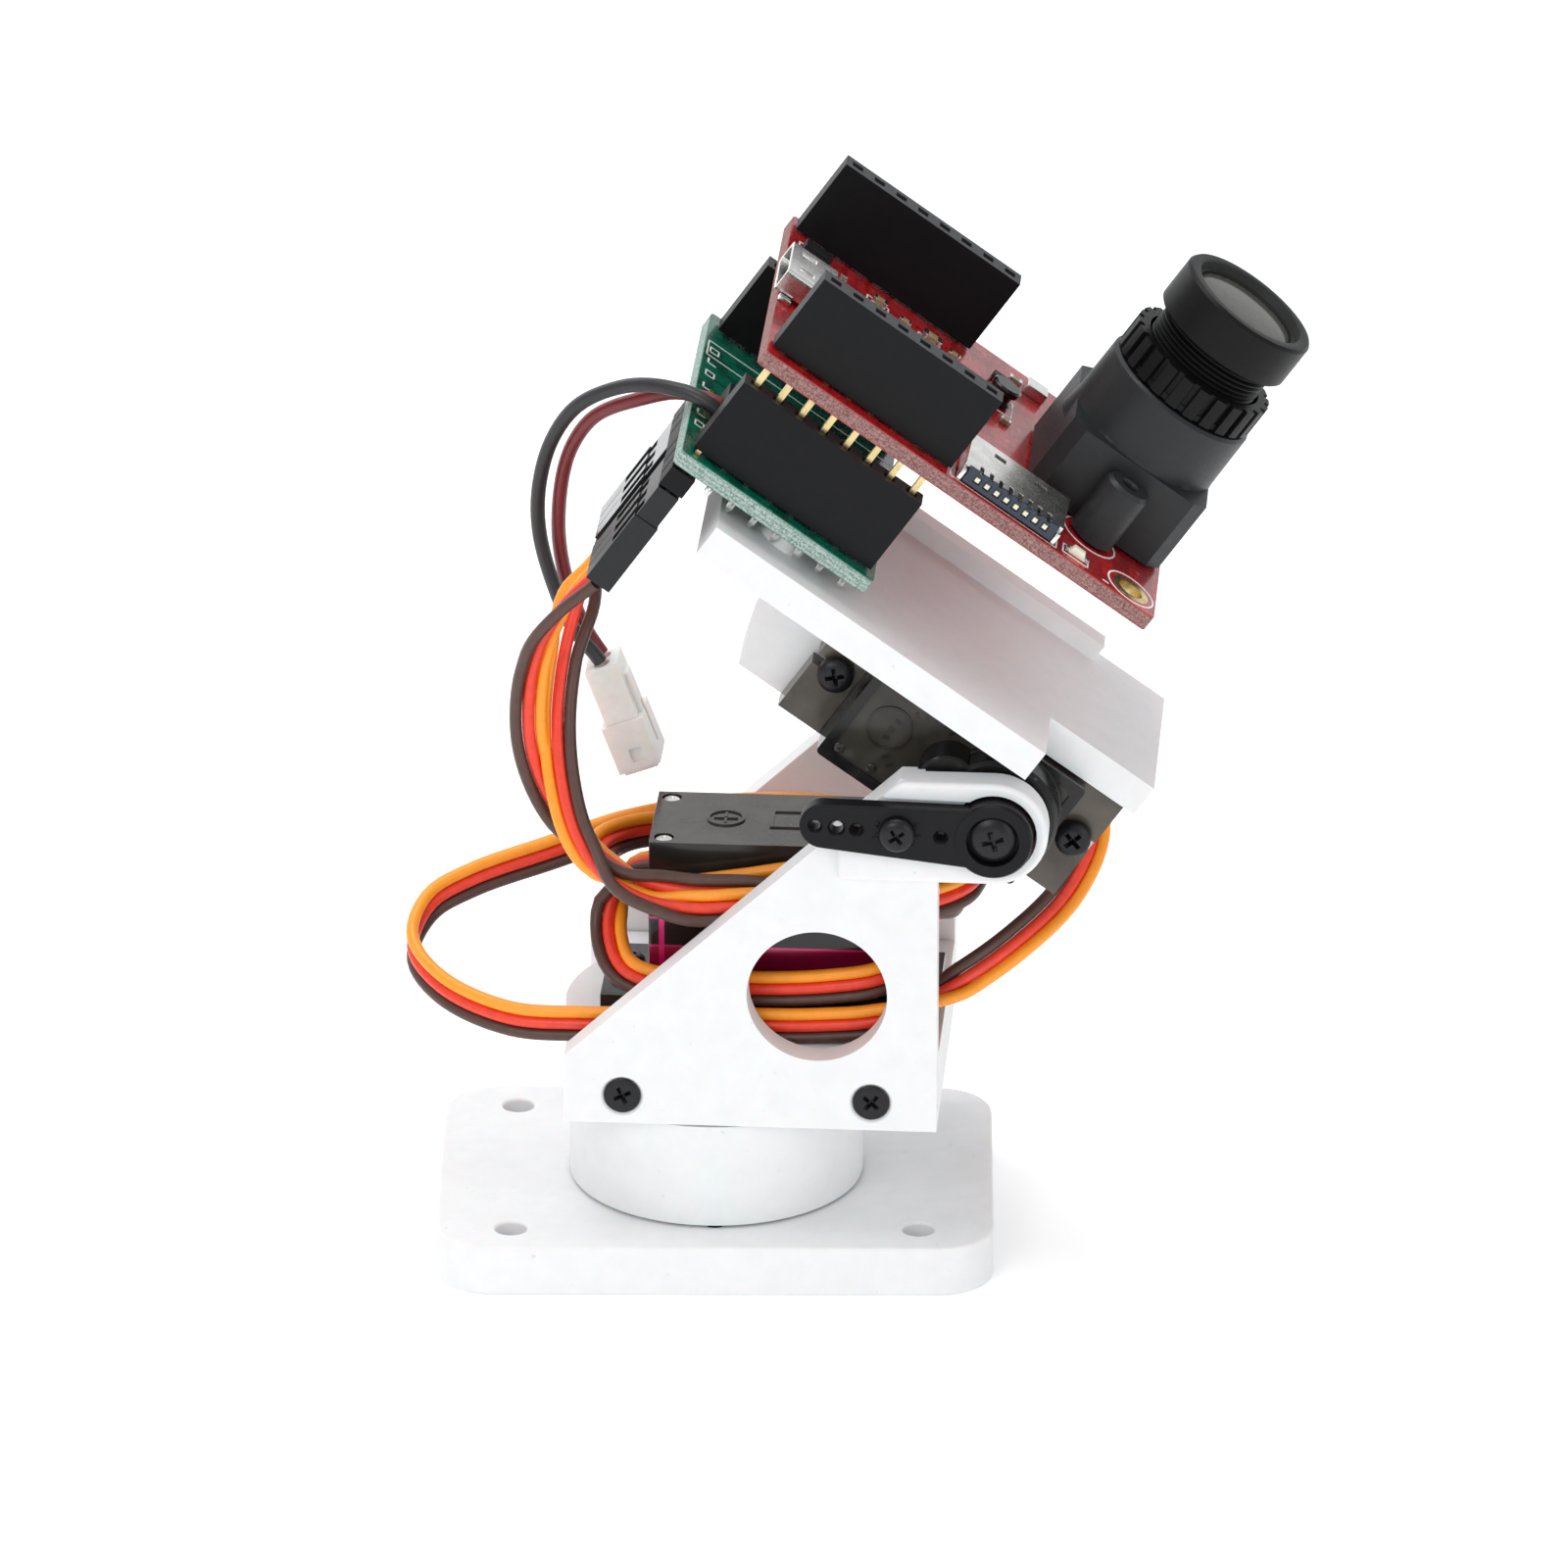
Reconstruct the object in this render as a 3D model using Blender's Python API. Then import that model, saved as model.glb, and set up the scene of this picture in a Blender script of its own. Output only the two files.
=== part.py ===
"""Pan tilt camera mount: two micro servos turn and tip a small camera board on a printed stand.

Every size is in millimetres, and each mesh is scaled to metres as it is made. The row frame has its
origin under the middle of the base plate, on the pan axis, with +Z up and +X towards the tilt servo.
"""

import math

import bmesh
import bpy
from mathutils import Matrix

MM = 0.001
GAP = 0.3  # between two pieces that touch

# Rest pose
PAN_REST = -3.7  # degrees about +Z
TILT_REST = 35.5  # degrees about the bracket's +Y; 0 is level

# Base
PLATE_LENGTH, PLATE_DEPTH, PLATE_HEIGHT = 53.2, 37.0, 5.0
PLATE_CORNER = 5.5
FIXING_X, FIXING_Y, FIXING_R = 19.4, 14.0, 1.5
DRUM_R, DRUM_INNER_R, DRUM_TOP = 14.1, 11.0, 15.6
WEB_LOW, WEB_HIGH = 11.5, 13.5
DRUM_SCREW_Y = 12.55

# Pan bracket, in the bracket's own frame
FLOOR_LOW, FLOOR_HIGH = 16.0, 22.7
FLOOR_LEFT, FLOOR_RIGHT = -11.5, 22.0
FLOOR_NEAR, FLOOR_FAR = -11.2, 15.2
SIDE_THICKNESS = 3.0
SIDE_LEFT, SIDE_RIGHT = -13.4, 22.0
SIDE_SCREWS = ((-7.85, 18.8), (15.8, 18.8))
WINDOW_X, WINDOW_Z, WINDOW_R = 10.65, 29.7, 6.65
TILT_X, TILT_Z = 27.3, 47.2
SIDE_LEFT_HIGH, PLATE_TOP_RIGHT = 22.8, 20.7
FAR_TOP, FAR_TOP_LEFT = 45.5, 11.1
EAR_R, EAR_LEFT, EAR_LEFT_HIGH, EAR_SHOULDER = 5.1, 12.6, 46.85, 18.5
EAR_FRONT, EAR_BACK = -15.5, -12.0

# Micro servo, measured up from its bottom cover with the shaft at the origin
SERVO_LEFT, SERVO_RIGHT, SERVO_HALF = -16.9, 5.9, 6.1
EAR_SCREWS = (-19.2, 8.5)
FLANGE_LEFT, FLANGE_RIGHT, FLANGE_LOW, FLANGE_HIGH = -21.6, 10.6, 16.0, 18.5
COVER_HIGH, CASE_LOW = 3.1, 3.4
LID_LOW, LID_HIGH, BOSS_HIGH = 18.8, 22.7, 26.7
WALL = 1.0
BIG_BOSS_R, SMALL_BOSS_R = 5.9, 2.9
SHAFT_R, SHAFT_HIGH = 2.25, 30.3
HORN_LOW, HORN_ARM, HORN_HIGH, HORN_R = 28.2, 30.3, 32.2, 3.75
HORN_ARM_SIZE = (3.0, 2.25, 18.2)  # half widths at the hub and tip, and length
HORN_RAISED = 4.0  # degrees
HORN_HOLES = ((4.9, 0.5), (9.0, 0.95), (12.8, 0.5), (14.7, 0.9), (16.7, 0.5))  # distance, radius
ARM_SCREW_AT = 9.0
PAN_SERVO_TOP = 41.5
TILT_SERVO_REAR = 15.1

# Gear train: each stage turns three times as fast as the one it drives
MODULE = 0.48
WHEEL_TEETH, PINION_TEETH = 18, 6
GEAR_SPACING = MODULE * (WHEEL_TEETH + PINION_TEETH) / 2
ADDENDUM, DEDENDUM = 0.38, 0.47
WHEEL_TIP, WHEEL_ROOT = 0.10, 0.27  # half widths, as shares of the tooth's step
PINION_TIP, PINION_ROOT = 0.11, 0.22
FIRST_LAYER, LAYER, GEAR_HEIGHT = 17.8, 1.25, 1.0
PIN_R, GEAR_BORE_R = 0.3, 0.55

# Tilting platform and boards, in the platform's own frame, whose origin is on the tilt axis
DECK_LOW, DECK_HIGH = 6.4, 9.7
DECK_LEFT, DECK_RIGHT, DECK_NEAR, DECK_FAR = -38.8, 11.1, -15.5, 15.3
NOTCH_X, NOTCH_Y = -1.0, -6.7
RAIL_HIGH, RAIL_NEAR, RAIL_RIGHT = 11.5, 12.6, 2.8
BOARD_Y, BOARD_HALF = 4.2, 17.8
BOARD_THICKNESS = 1.6
SHIELD_LEFT, SHIELD_RIGHT, SHIELD_LOW = -45.5, -23.6, 11.8
CAMERA_LEFT, CAMERA_RIGHT, CAMERA_LOW = -45.0, -0.6, 24.6
HEADER_LEFT, HEADER_LENGTH, HEADER_WIDTH, HEADER_HEIGHT = -44.6, 20.3, 2.5, 8.2
HEADER_SPREAD = 15.24
PINS, PITCH, PIN_HALF, SOCKET_HALF = 8, 2.54, 0.25, 0.5
SHIELD_SCREW_X, SHIELD_SCREW_Y = -32.0, -8.5
LENS_X, LENS_BOSS_Y = -8.6, 9.6
PLUG_WIDTH, PLUG_DEPTH, PLUG_TOP, PLUG_LOW = 2.6, 7.6, 9.0, -2.5
PLUG_X = -44.0
PLUG_Y = (-9.75, 0.0)  # tilt plug, then pan plug

# Leads: a servo lead is three wires side by side, and its solid is the middle wire
LEAD_R, POWER_R = 0.6, 0.7
PAN_LEAD_ROUTE = (  # bracket frame
    (-5.4, 0.0, 37.0), (-7.9, 0.1, 36.2), (-9.7, -0.8, 33.6), (-10.0, -3.2, 30.6), (-8.4, -6.4, 28.4),
    (-4.6, -8.2, 27.7), (4.0, -8.4, 27.6), (11.0, -8.4, 28.0), (16.4, -8.0, 28.9), (19.6, -5.4, 30.1),
    (20.4, -0.8, 31.2), (19.8, 4.4, 32.4), (16.6, 7.8, 33.8), (8.0, 8.6, 35.2), (-1.0, 8.6, 36.4),
    (-7.0, 7.2, 37.0), (-10.6, 3.4, 37.2), (-11.0, -1.4, 37.0), (-8.8, -5.2, 36.6), (-4.0, -7.1, 36.7),
    (2.6, -7.2, 37.6), (9.0, -7.2, 38.7), (15.0, -7.5, 38.9), (18.9, -6.6, 38.8), (20.2, -2.0, 38.7),
    (19.9, 4.2, 38.6), (20.0, 7.4, 38.5), (21.2, 9.8, 38.4), (23.4, 10.2, 38.3), (25.2, 8.4, 38.2),
    (25.8, 4.6, 38.1), (25.6, -1.2, 37.9), (24.2, -6.0, 37.6), (20.4, -9.4, 37.4), (15.0, -10.3, 37.3),
    (9.0, -10.3, 37.3), (4.0, -10.3, 37.0),
    (-1.6, -10.5, 36.7), (-6.0, -10.5, 37.4), (-9.8, -10.1, 39.6), (-12.4, -9.2, 43.2), (-13.9, -7.8, 48.0),
    (-14.5, -6.0, 53.6), (-14.0, -3.8, 59.4), (-12.5, -1.4, 65.2), (-10.2, 0.0, 70.4),
)
TILT_LEAD_ROUTE = (  # bracket frame
    (31.6, 10.7, 44.1), (34.4, 10.2, 42.2), (35.6, 7.6, 38.2), (33.6, 2.4, 34.2), (28.6, -4.0, 31.0),
    (22.0, -8.2, 27.6), (17.0, -9.6, 25.4), (10.4, -9.8, 24.6), (3.0, -9.8, 24.4), (-5.0, -9.8, 24.3),
    (-12.0, -9.4, 23.9), (-19.1, -8.0, 23.6), (-26.0, -4.0, 24.8), (-29.2, 1.0, 26.8), (-27.8, 5.0, 29.5),
    (-24.0, 7.2, 31.2), (-16.7, 9.4, 33.3), (-9.2, 11.0, 35.6), (0.0, 11.6, 37.2), (10.0, 11.6, 37.4),
    (17.4, 10.0, 36.6), (21.3, 5.6, 35.4), (22.2, -0.6, 34.2), (20.4, -6.2, 34.0), (16.0, -8.5, 35.2),
    (10.2, -8.8, 36.8), (4.0, -8.8, 37.7), (-2.4, -8.8, 37.8), (-7.2, -8.2, 38.8), (-11.6, -7.2, 41.6),
    (-15.0, -6.6, 45.6), (-16.9, -6.8, 51.0), (-17.0, -7.6, 57.0), (-15.8, -8.7, 62.6), (-13.2, -9.5, 67.2),
    (-10.2, -9.75, 70.4),
)
POWER_LEAD_ROUTE = (  # platform frame
    (-40.6, -2.6, 14.8), (-44.8, -2.2, 14.6), (-47.8, -1.0, 13.0), (-50.6, 1.2, 9.2), (-52.2, 3.4, 4.8),
    (-51.9, 5.2, 0.2), (-50.2, 6.6, -4.4), (-47.2, 8.0, -9.1), (-43.0, 9.1, -13.3), (-39.2, 9.8, -16.0),
    (-35.45, 10.0, -17.45),
)
POWER_PLUG_AT = (-35.2, 10.0, -17.6)  # where the wires enter it
POWER_PLUG_SIZE = (11.2, 5.4, 4.2)
POWER_PLUG_DROOP = 34.0  # degrees from the platform's plane

STEPS = 32  # round a full turn


def material(name, colour, roughness, metallic=0.0, alpha=1.0):
    made = bpy.data.materials.new(name)
    made.use_nodes = True
    shader = made.node_tree.nodes["Principled BSDF"]
    shader.inputs["Base Color"].default_value = (*colour, 1.0)
    shader.inputs["Roughness"].default_value = roughness
    shader.inputs["Metallic"].default_value = metallic
    shader.inputs["Alpha"].default_value = alpha
    made.diffuse_color = (*colour, alpha)
    return made


# Outlines, as lists of points


def arc(x, y, radius, start, end, steps):
    turns = [math.radians(start + (end - start) * i / steps) for i in range(steps + 1)]
    return [(x + radius * math.cos(turn), y + radius * math.sin(turn)) for turn in turns]


def circle(x, y, radius, steps=STEPS):
    return arc(x, y, radius, 0, 360, steps)[:-1]


def rectangle(left, near, right, far):
    return [(left, near), (right, near), (right, far), (left, far)]


def rounded_rectangle(left, near, right, far, radius, steps=6):
    corners = ((right, far, 0), (left, far, 90), (left, near, 180), (right, near, 270))
    outline = []
    for x, y, start in corners:
        inwards_x = x - math.copysign(radius, x - (left + right) / 2)
        inwards_y = y - math.copysign(radius, y - (near + far) / 2)
        outline += arc(inwards_x, inwards_y, radius, start, start + 90, steps)
    return outline


def gear_outline(teeth, tip, root, turn):
    """Straight-flanked teeth; tip and root are each tooth's half widths as shares of its step."""
    radius = MODULE * teeth / 2
    step = 2 * math.pi / teeth
    low, high = radius - DEDENDUM, radius + ADDENDUM
    sides = ((low, -root), (high, -tip), (high, tip), (low, root))
    angles = [(r, turn + (tooth + share) * step) for tooth in range(teeth) for r, share in sides]
    return [(r * math.cos(angle), r * math.sin(angle)) for r, angle in angles]


# Solids, as bmeshes in millimetres


def prism(outline, low, high, plane="XY"):
    """The outline, drawn in the plane, extruded from low to high along the plane's normal."""
    in_space = {"XY": lambda a, b, h: (a, b, h), "XZ": lambda a, b, h: (a, h, b)}[plane]
    shape = bmesh.new()
    face = shape.faces.new([shape.verts.new(in_space(a, b, low)) for a, b in outline])
    top = bmesh.ops.extrude_face_region(shape, geom=[face])["geom"]
    rise = in_space(0, 0, high - low)
    bmesh.ops.translate(shape, vec=rise, verts=[v for v in top if isinstance(v, bmesh.types.BMVert)])
    bmesh.ops.recalc_face_normals(shape, faces=shape.faces)
    return shape


def box(low, high):
    return prism(rectangle(low[0], low[1], high[0], high[1]), low[2], high[2])


def turned(profile, steps=STEPS):
    """The profile, a closed loop of (radius, height) points, spun about the Z axis."""
    shape = bmesh.new()
    points = [shape.verts.new((r, 0, h)) for r, h in profile]
    edges = [shape.edges.new((points[i - 1], points[i])) for i in range(len(points))]
    turn = {"cent": (0, 0, 0), "axis": (0, 0, 1), "angle": 2 * math.pi, "steps": steps}
    bmesh.ops.spin(shape, geom=points + edges, use_merge=True, **turn)
    bmesh.ops.remove_doubles(shape, verts=shape.verts, dist=0.001)
    on_axis = [e for e in shape.edges if all(math.hypot(v.co.x, v.co.y) < 0.001 for v in e.verts)]
    bmesh.ops.delete(shape, geom=on_axis, context="EDGES")
    bmesh.ops.recalc_face_normals(shape, faces=shape.faces)
    return shape


def together(*shapes):
    """One bmesh of several solids that stand apart."""
    whole = bmesh.new()
    for shape in shapes:
        part = bpy.data.meshes.new("part")
        shape.to_mesh(part)
        shape.free()
        whole.from_mesh(part)
        bpy.data.meshes.remove(part)
    return whole


def cylinder(x, y, radius, low, high, steps=STEPS, plane="XY"):
    return prism(circle(x, y, radius, steps), low, high, plane)


# Objects


def frame(name, parent=None, at=(0, 0, 0), turn=(0, 0, 0)):
    empty = bpy.data.objects.new(name, None)
    bpy.context.collection.objects.link(empty)
    place(empty, parent, at, turn)
    return empty


def place(item, parent, at, turn):
    item.parent = parent
    item.location = [MM * value for value in at]
    item.rotation_euler = [math.radians(value) for value in turn]


def mesh_object(name, shape, parent, at, turn):
    bmesh.ops.scale(shape, vec=(MM, MM, MM), verts=shape.verts)
    mesh = bpy.data.meshes.new(name)
    shape.to_mesh(mesh)
    shape.free()
    item = bpy.data.objects.new(name, mesh)
    bpy.context.collection.objects.link(item)
    place(item, parent, at, turn)
    return item


def piece(name, shape, parent, finish, at=(0, 0, 0), turn=(0, 0, 0), add=(), cut=()):
    """A named solid: the shape, with the solids in add joined to it and those in cut taken away."""
    item = mesh_object(name, shape, parent, at, turn)
    item.data.materials.append(finish)
    steps = [("UNION", solid) for solid in add] + [("DIFFERENCE", solid) for solid in cut]
    for number, (operation, solid) in enumerate(steps):
        helper = mesh_object(f"{name}_helper_{number}", solid, parent, at, turn)
        helper.hide_render = True
        helper.display_type = "WIRE"
        modifier = item.modifiers.new(f"{operation.lower()}_{number}", "BOOLEAN")
        modifier.operation = operation
        modifier.object = helper
    return item


def screw(name, parent, finish, at, turn, head_r, head_height, shank_r, length, countersunk=False):
    """A screw along Z with its head's top at the origin and its point at -Z."""
    neck = shank_r if countersunk else head_r
    profile = [(0, 0), (head_r, 0), (neck, -head_height), (shank_r, -head_height - 0.01)]
    if countersunk:
        profile.pop()
    profile += [(shank_r, -length + shank_r), (0, -length)]
    return piece(name, turned(profile, 12), parent, finish, at, turn)


def lead(name, route, radius, parent, finish):
    """A cord along a smooth curve through the route's points, a point every two and a half diameters."""
    fine = smooth(route, 2.5 * 2 * radius)
    curve = bpy.data.curves.new(name, "CURVE")
    curve.dimensions = "3D"
    curve.bevel_depth = radius * MM
    curve.bevel_resolution = 2
    curve.use_fill_caps = True
    spline = curve.splines.new("POLY")
    spline.points.add(len(fine) - 1)
    for point, place_at in zip(spline.points, fine):
        point.co = (*(MM * value for value in place_at), 1)
    item = bpy.data.objects.new(name, curve)
    item.data.materials.append(finish)
    bpy.context.collection.objects.link(item)
    item.parent = parent
    return item


def smooth(route, spacing):
    """Points about one spacing apart on a centripetal Catmull-Rom curve through the route."""
    before = [2 * a - b for a, b in zip(route[0], route[1])]
    after = [2 * a - b for a, b in zip(route[-1], route[-2])]
    points = [before, *route, after]
    curve = []
    for i in range(1, len(points) - 2):
        p0, p1, p2, p3 = points[i - 1 : i + 3]
        span = math.dist(p1, p2)
        knots = [0.0]
        for a, b in ((p0, p1), (p1, p2), (p2, p3)):
            knots.append(knots[-1] + math.sqrt(math.dist(a, b)))
        count = max(1, round(span / spacing))
        for step in range(count):
            t = knots[1] + (knots[2] - knots[1]) * step / count
            curve.append(catmull_rom(p0, p1, p2, p3, knots, t))
    curve.append(tuple(route[-1]))
    return curve


def catmull_rom(p0, p1, p2, p3, knots, t):
    def between(a, b, low, high):
        return [((high - t) * u + (t - low) * v) / (high - low) for u, v in zip(a, b)]

    k0, k1, k2, k3 = knots
    first, middle, last = between(p0, p1, k0, k1), between(p1, p2, k1, k2), between(p2, p3, k2, k3)
    return between(between(first, middle, k0, k2), between(middle, last, k1, k3), k1, k2)


# Base


def base(finish):
    plate_holes = [
        cylinder(x, y, FIXING_R, -1, PLATE_HEIGHT + 1, 16)
        for x in (-FIXING_X, FIXING_X)
        for y in (-FIXING_Y, FIXING_Y)
    ]
    above = PLATE_HEIGHT + 1
    screw_holes = [turned([(0, -1), (2.9, -1), (1.1, 1.9), (1.1, above), (0, above)], 16) for _ in range(2)]
    for hole, side in zip(screw_holes, (-1, 1)):
        bmesh.ops.translate(hole, vec=(0, side * DRUM_SCREW_Y, 0), verts=hole.verts)
    outline = rounded_rectangle(
        -PLATE_LENGTH / 2, -PLATE_DEPTH / 2, PLATE_LENGTH / 2, PLATE_DEPTH / 2, PLATE_CORNER
    )
    piece(
        "base_plate",
        prism(outline, 0, PLATE_HEIGHT),
        None,
        finish["white"],
        cut=[together(*plate_holes, *screw_holes)],
    )
    counterbore = GEAR_SPACING + SMALL_BOSS_R + 2 * GAP
    drum_profile = [
        (HORN_R + GAP, WEB_LOW), (DRUM_INNER_R, WEB_LOW), (DRUM_INNER_R, PLATE_HEIGHT + GAP),
        (DRUM_R, PLATE_HEIGHT + GAP), (DRUM_R, DRUM_TOP), (counterbore, DRUM_TOP), (counterbore, WEB_HIGH),
        (HORN_R + GAP, WEB_HIGH),
    ]
    pilot_holes = [
        cylinder(0, side * DRUM_SCREW_Y, 1.1, PLATE_HEIGHT, WEB_HIGH - 1, 12) for side in (-1, 1)
    ]
    piece("drum", turned(drum_profile, 40), None, finish["white"], cut=[together(*pilot_holes)])
    for number, side in enumerate((-1, 1), start=1):
        screw(
            f"drum_screw_{number}", None, finish["black_steel"], (0, side * DRUM_SCREW_Y, 0.2), (180, 0, 0),
            1.8, 1.2, 0.75, 11.0, countersunk=True,
        )


# Servo


def servo(prefix, parent, finish):
    """The servo's standing pieces, shaft up, and the frames that its gears turn in."""
    left, right, half = SERVO_LEFT, SERVO_RIGHT, SERVO_HALF
    inner = (left + WALL, -half + WALL), (right - WALL, half - WALL)

    def hollow(low, high):
        return box((*inner[0], low), (*inner[1], high))

    piece(
        f"{prefix}_bottom_cover",
        box((left, -half, 0), (right, half, COVER_HIGH)),
        parent,
        finish["smoke"],
        cut=[hollow(WALL, COVER_HIGH + 1)],
    )
    ears = box((FLANGE_LEFT, -half + 0.01, FLANGE_LOW), (FLANGE_RIGHT, half - 0.01, FLANGE_HIGH))
    deck_low, deck_high = FLANGE_LOW - 0.2, FIRST_LAYER - GAP
    holes = [cylinder(u, 0, 1.0, FLANGE_LOW - 1, FLANGE_HIGH + 1, 12) for u in EAR_SCREWS]
    holes.append(cylinder(-2 * GEAR_SPACING, 0, 0.8, deck_low - 1, deck_high + 0.5, 12))
    lead_slot = box((right - 2 * WALL, -2.2, CASE_LOW - 1), (right + 1, 2.2, CASE_LOW + 3.0))
    piece(
        f"{prefix}_middle_case",
        box((left, -half, CASE_LOW), (right, half, FLANGE_HIGH)),
        parent,
        finish["smoke"],
        add=[ears],
        cut=[hollow(CASE_LOW - 1, deck_low), hollow(deck_high, FLANGE_HIGH + 1), together(*holes), lead_slot],
    )
    piece(
        f"{prefix}_gear_cover",
        box((left, -half, LID_LOW), (right, half, LID_HIGH)),
        parent,
        finish["smoke"],
        add=[
            cylinder(0, 0, BIG_BOSS_R - 0.01, LID_LOW + 1, BOSS_HIGH),
            cylinder(-GEAR_SPACING, 0, SMALL_BOSS_R, LID_LOW + 1, BOSS_HIGH, 20),
        ],
        cut=[
            hollow(LID_LOW - 1, LID_HIGH - 0.8),
            cylinder(0, 0, BIG_BOSS_R - 0.95, LID_HIGH - 2, BOSS_HIGH - 0.9),
            cylinder(-GEAR_SPACING, 0, SMALL_BOSS_R - 0.8, LID_HIGH - 2, BOSS_HIGH - 0.9, 20),
            cylinder(0, 0, SHAFT_R + 0.35, BOSS_HIGH - 2, BOSS_HIGH + 1, 20),
        ],
    )
    piece(
        f"{prefix}_motor",
        cylinder(-2 * GEAR_SPACING, 0, 4.2, COVER_HIGH - 1, deck_low - 2 * GAP, 20),
        parent,
        finish["steel"],
    )
    pin = cylinder(-GEAR_SPACING, 0, PIN_R, deck_high + GAP, BOSS_HIGH - 1.3, 8)
    piece(f"{prefix}_gear_pin", pin, parent, finish["steel"])


def layer(number):
    return FIRST_LAYER + LAYER * number


def wheel(number, turn):
    outline = gear_outline(WHEEL_TEETH, WHEEL_TIP, WHEEL_ROOT, turn)
    return prism(outline, layer(number), layer(number) + GEAR_HEIGHT)


def small_gear(low, high, turn):
    return prism(gear_outline(PINION_TEETH, PINION_TIP, PINION_ROOT, turn), low, high)


def gear_train(prefix, parent, finish):
    """The motor pinion and three compound gears; a wheel's tooth points at the pinion that drives it."""
    half_step = math.pi / PINION_TEETH
    pinion_frame = frame(f"{prefix}_pinion_axis", parent, (-2 * GEAR_SPACING, 0, 0))
    piece(
        f"{prefix}_motor_pinion",
        small_gear(layer(0), layer(0) + GEAR_HEIGHT, half_step),
        pinion_frame,
        finish["brass"],
        add=[cylinder(0, 0, 0.45, layer(0) - 1.9, layer(0) + 0.5, 8)],
    )
    for number in range(3):
        on_pin = number % 2 == 0
        axis = frame(f"{prefix}_gear_{number + 1}_axis", parent, (-GEAR_SPACING if on_pin else 0, 0, 0))
        driven_from = math.pi if number < 1 or not on_pin else 0
        passes_on_to = half_step if on_pin else math.pi + half_step
        piece(
            f"{prefix}_gear_{number + 1}",
            wheel(number, driven_from),
            axis,
            finish["nylon"],
            add=[small_gear(layer(number) + 0.5, layer(number + 1) + GEAR_HEIGHT, passes_on_to)],
            cut=[cylinder(0, 0, GEAR_BORE_R, FIRST_LAYER - 1, BOSS_HIGH, 10)],
        )


def output_gear(name, parent, finish):
    """The last wheel, its splined shaft and the stem that the gear below it turns on."""
    stem_low, top = FIRST_LAYER, SHAFT_HIGH
    piece(
        name,
        wheel(3, math.pi),
        parent,
        finish["nylon"],
        add=[
            cylinder(0, 0, SHAFT_R, layer(3) + 0.5, top, 20),
            cylinder(0, 0, PIN_R, stem_low, layer(3) + 0.5, 8),
        ],
        cut=[cylinder(0, 0, 1.0, 26.8, top + 1, 12)],
    )


def horn(name, parent, finish, arm, holes, turn):
    """A servo horn: hub, arm outline and the holes along the arm, at (distance, radius)."""
    through = [cylinder(-along, 0, radius, HORN_ARM - 1, HORN_HIGH + 1, 10) for along, radius in holes]
    piece(
        name,
        cylinder(0, 0, HORN_R, HORN_LOW, HORN_HIGH, 24),
        parent,
        finish["black_plastic"],
        turn=(0, 0, turn),
        add=[prism(arm, HORN_ARM, HORN_HIGH - 0.05)],
        cut=[
            cylinder(0, 0, SHAFT_R + GAP, HORN_LOW - 1, SHAFT_HIGH + 0.2, 20),
            cylinder(0, 0, 1.0, HORN_LOW, HORN_HIGH + 1, 12),
            cylinder(0, 0, 2.5, HORN_HIGH - 1.1, HORN_HIGH + 1, 20),
            together(*through),
        ],
    )


def horn_screw(name, parent, finish):
    screw(name, parent, finish["black_steel"], (0, 0, HORN_HIGH - 0.1), (0, 0, 0), 2.2, 0.7, 0.7, 4.8)


# Bracket


def tapered_arm(wide, narrow, length, margin=0.0):
    root, tip = wide + margin, narrow + margin
    end = arc(-(length - narrow), 0, tip, 90, 270, 8)
    return [(0, -root), (0, root), *end]


def double_arm(half_width, length):
    return rounded_rectangle(-length, -half_width, length, half_width, half_width - 0.1, 4)


def floor_block(parent, finish):
    meets = math.sqrt(14.4**2 - FLOOR_LEFT**2)
    sweep = math.degrees(math.atan2(meets, FLOOR_LEFT))
    outline = [
        (FLOOR_RIGHT, FLOOR_NEAR), (FLOOR_RIGHT, FLOOR_FAR), (FLOOR_LEFT, FLOOR_FAR),
        *arc(0, 0, 14.4, sweep, 360 - sweep, 12), (FLOOR_LEFT, FLOOR_NEAR),
    ]
    pocket_low = PAN_SERVO_TOP - LID_HIGH - GAP
    pocket_half = SERVO_HALF + GAP
    pocket = box(
        (-SERVO_RIGHT - GAP, -pocket_half, pocket_low), (-SERVO_LEFT + GAP, pocket_half, FLOOR_HIGH + 1)
    )
    big = cylinder(0, 0, BIG_BOSS_R + GAP, FLOOR_LOW - 1, pocket_low + 1)
    small = cylinder(GEAR_SPACING, 0, SMALL_BOSS_R + GAP, FLOOR_LOW - 1, pocket_low + 1, 20)
    ear_holes = [cylinder(-u, 0, 1.0, 17.5, FLOOR_HIGH + 1, 12) for u in EAR_SCREWS]
    side_holes = [
        cylinder(x, z, 1.1, min(side), max(side), 12, "XZ")
        for x, z in SIDE_SCREWS
        for side in ((FLOOR_NEAR - 1, FLOOR_NEAR + 4.5), (FLOOR_FAR - 5.5, FLOOR_FAR + 1))
    ]
    piece(
        "floor_block",
        prism(outline, FLOOR_LOW, FLOOR_HIGH),
        parent,
        finish["white"],
        cut=[pocket, big, small, together(*ear_holes, *side_holes)],
    )


def countersink(x, z, outer, inner):
    """A screw hole through a side plate, wide at its outer face."""
    depth = inner - outer
    shape = turned(
        [(0, -1), (2.9, -1), (2.1, 0), (1.1, 1.1), (1.1, abs(depth) + 1), (0, abs(depth) + 1)], 16
    )
    inwards = Matrix.Rotation(math.radians(-90 if depth > 0 else 90), 3, "X")
    bmesh.ops.rotate(shape, cent=(0, 0, 0), matrix=inwards, verts=shape.verts)
    bmesh.ops.translate(shape, vec=(x, outer, z), verts=shape.verts)
    return shape


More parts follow.
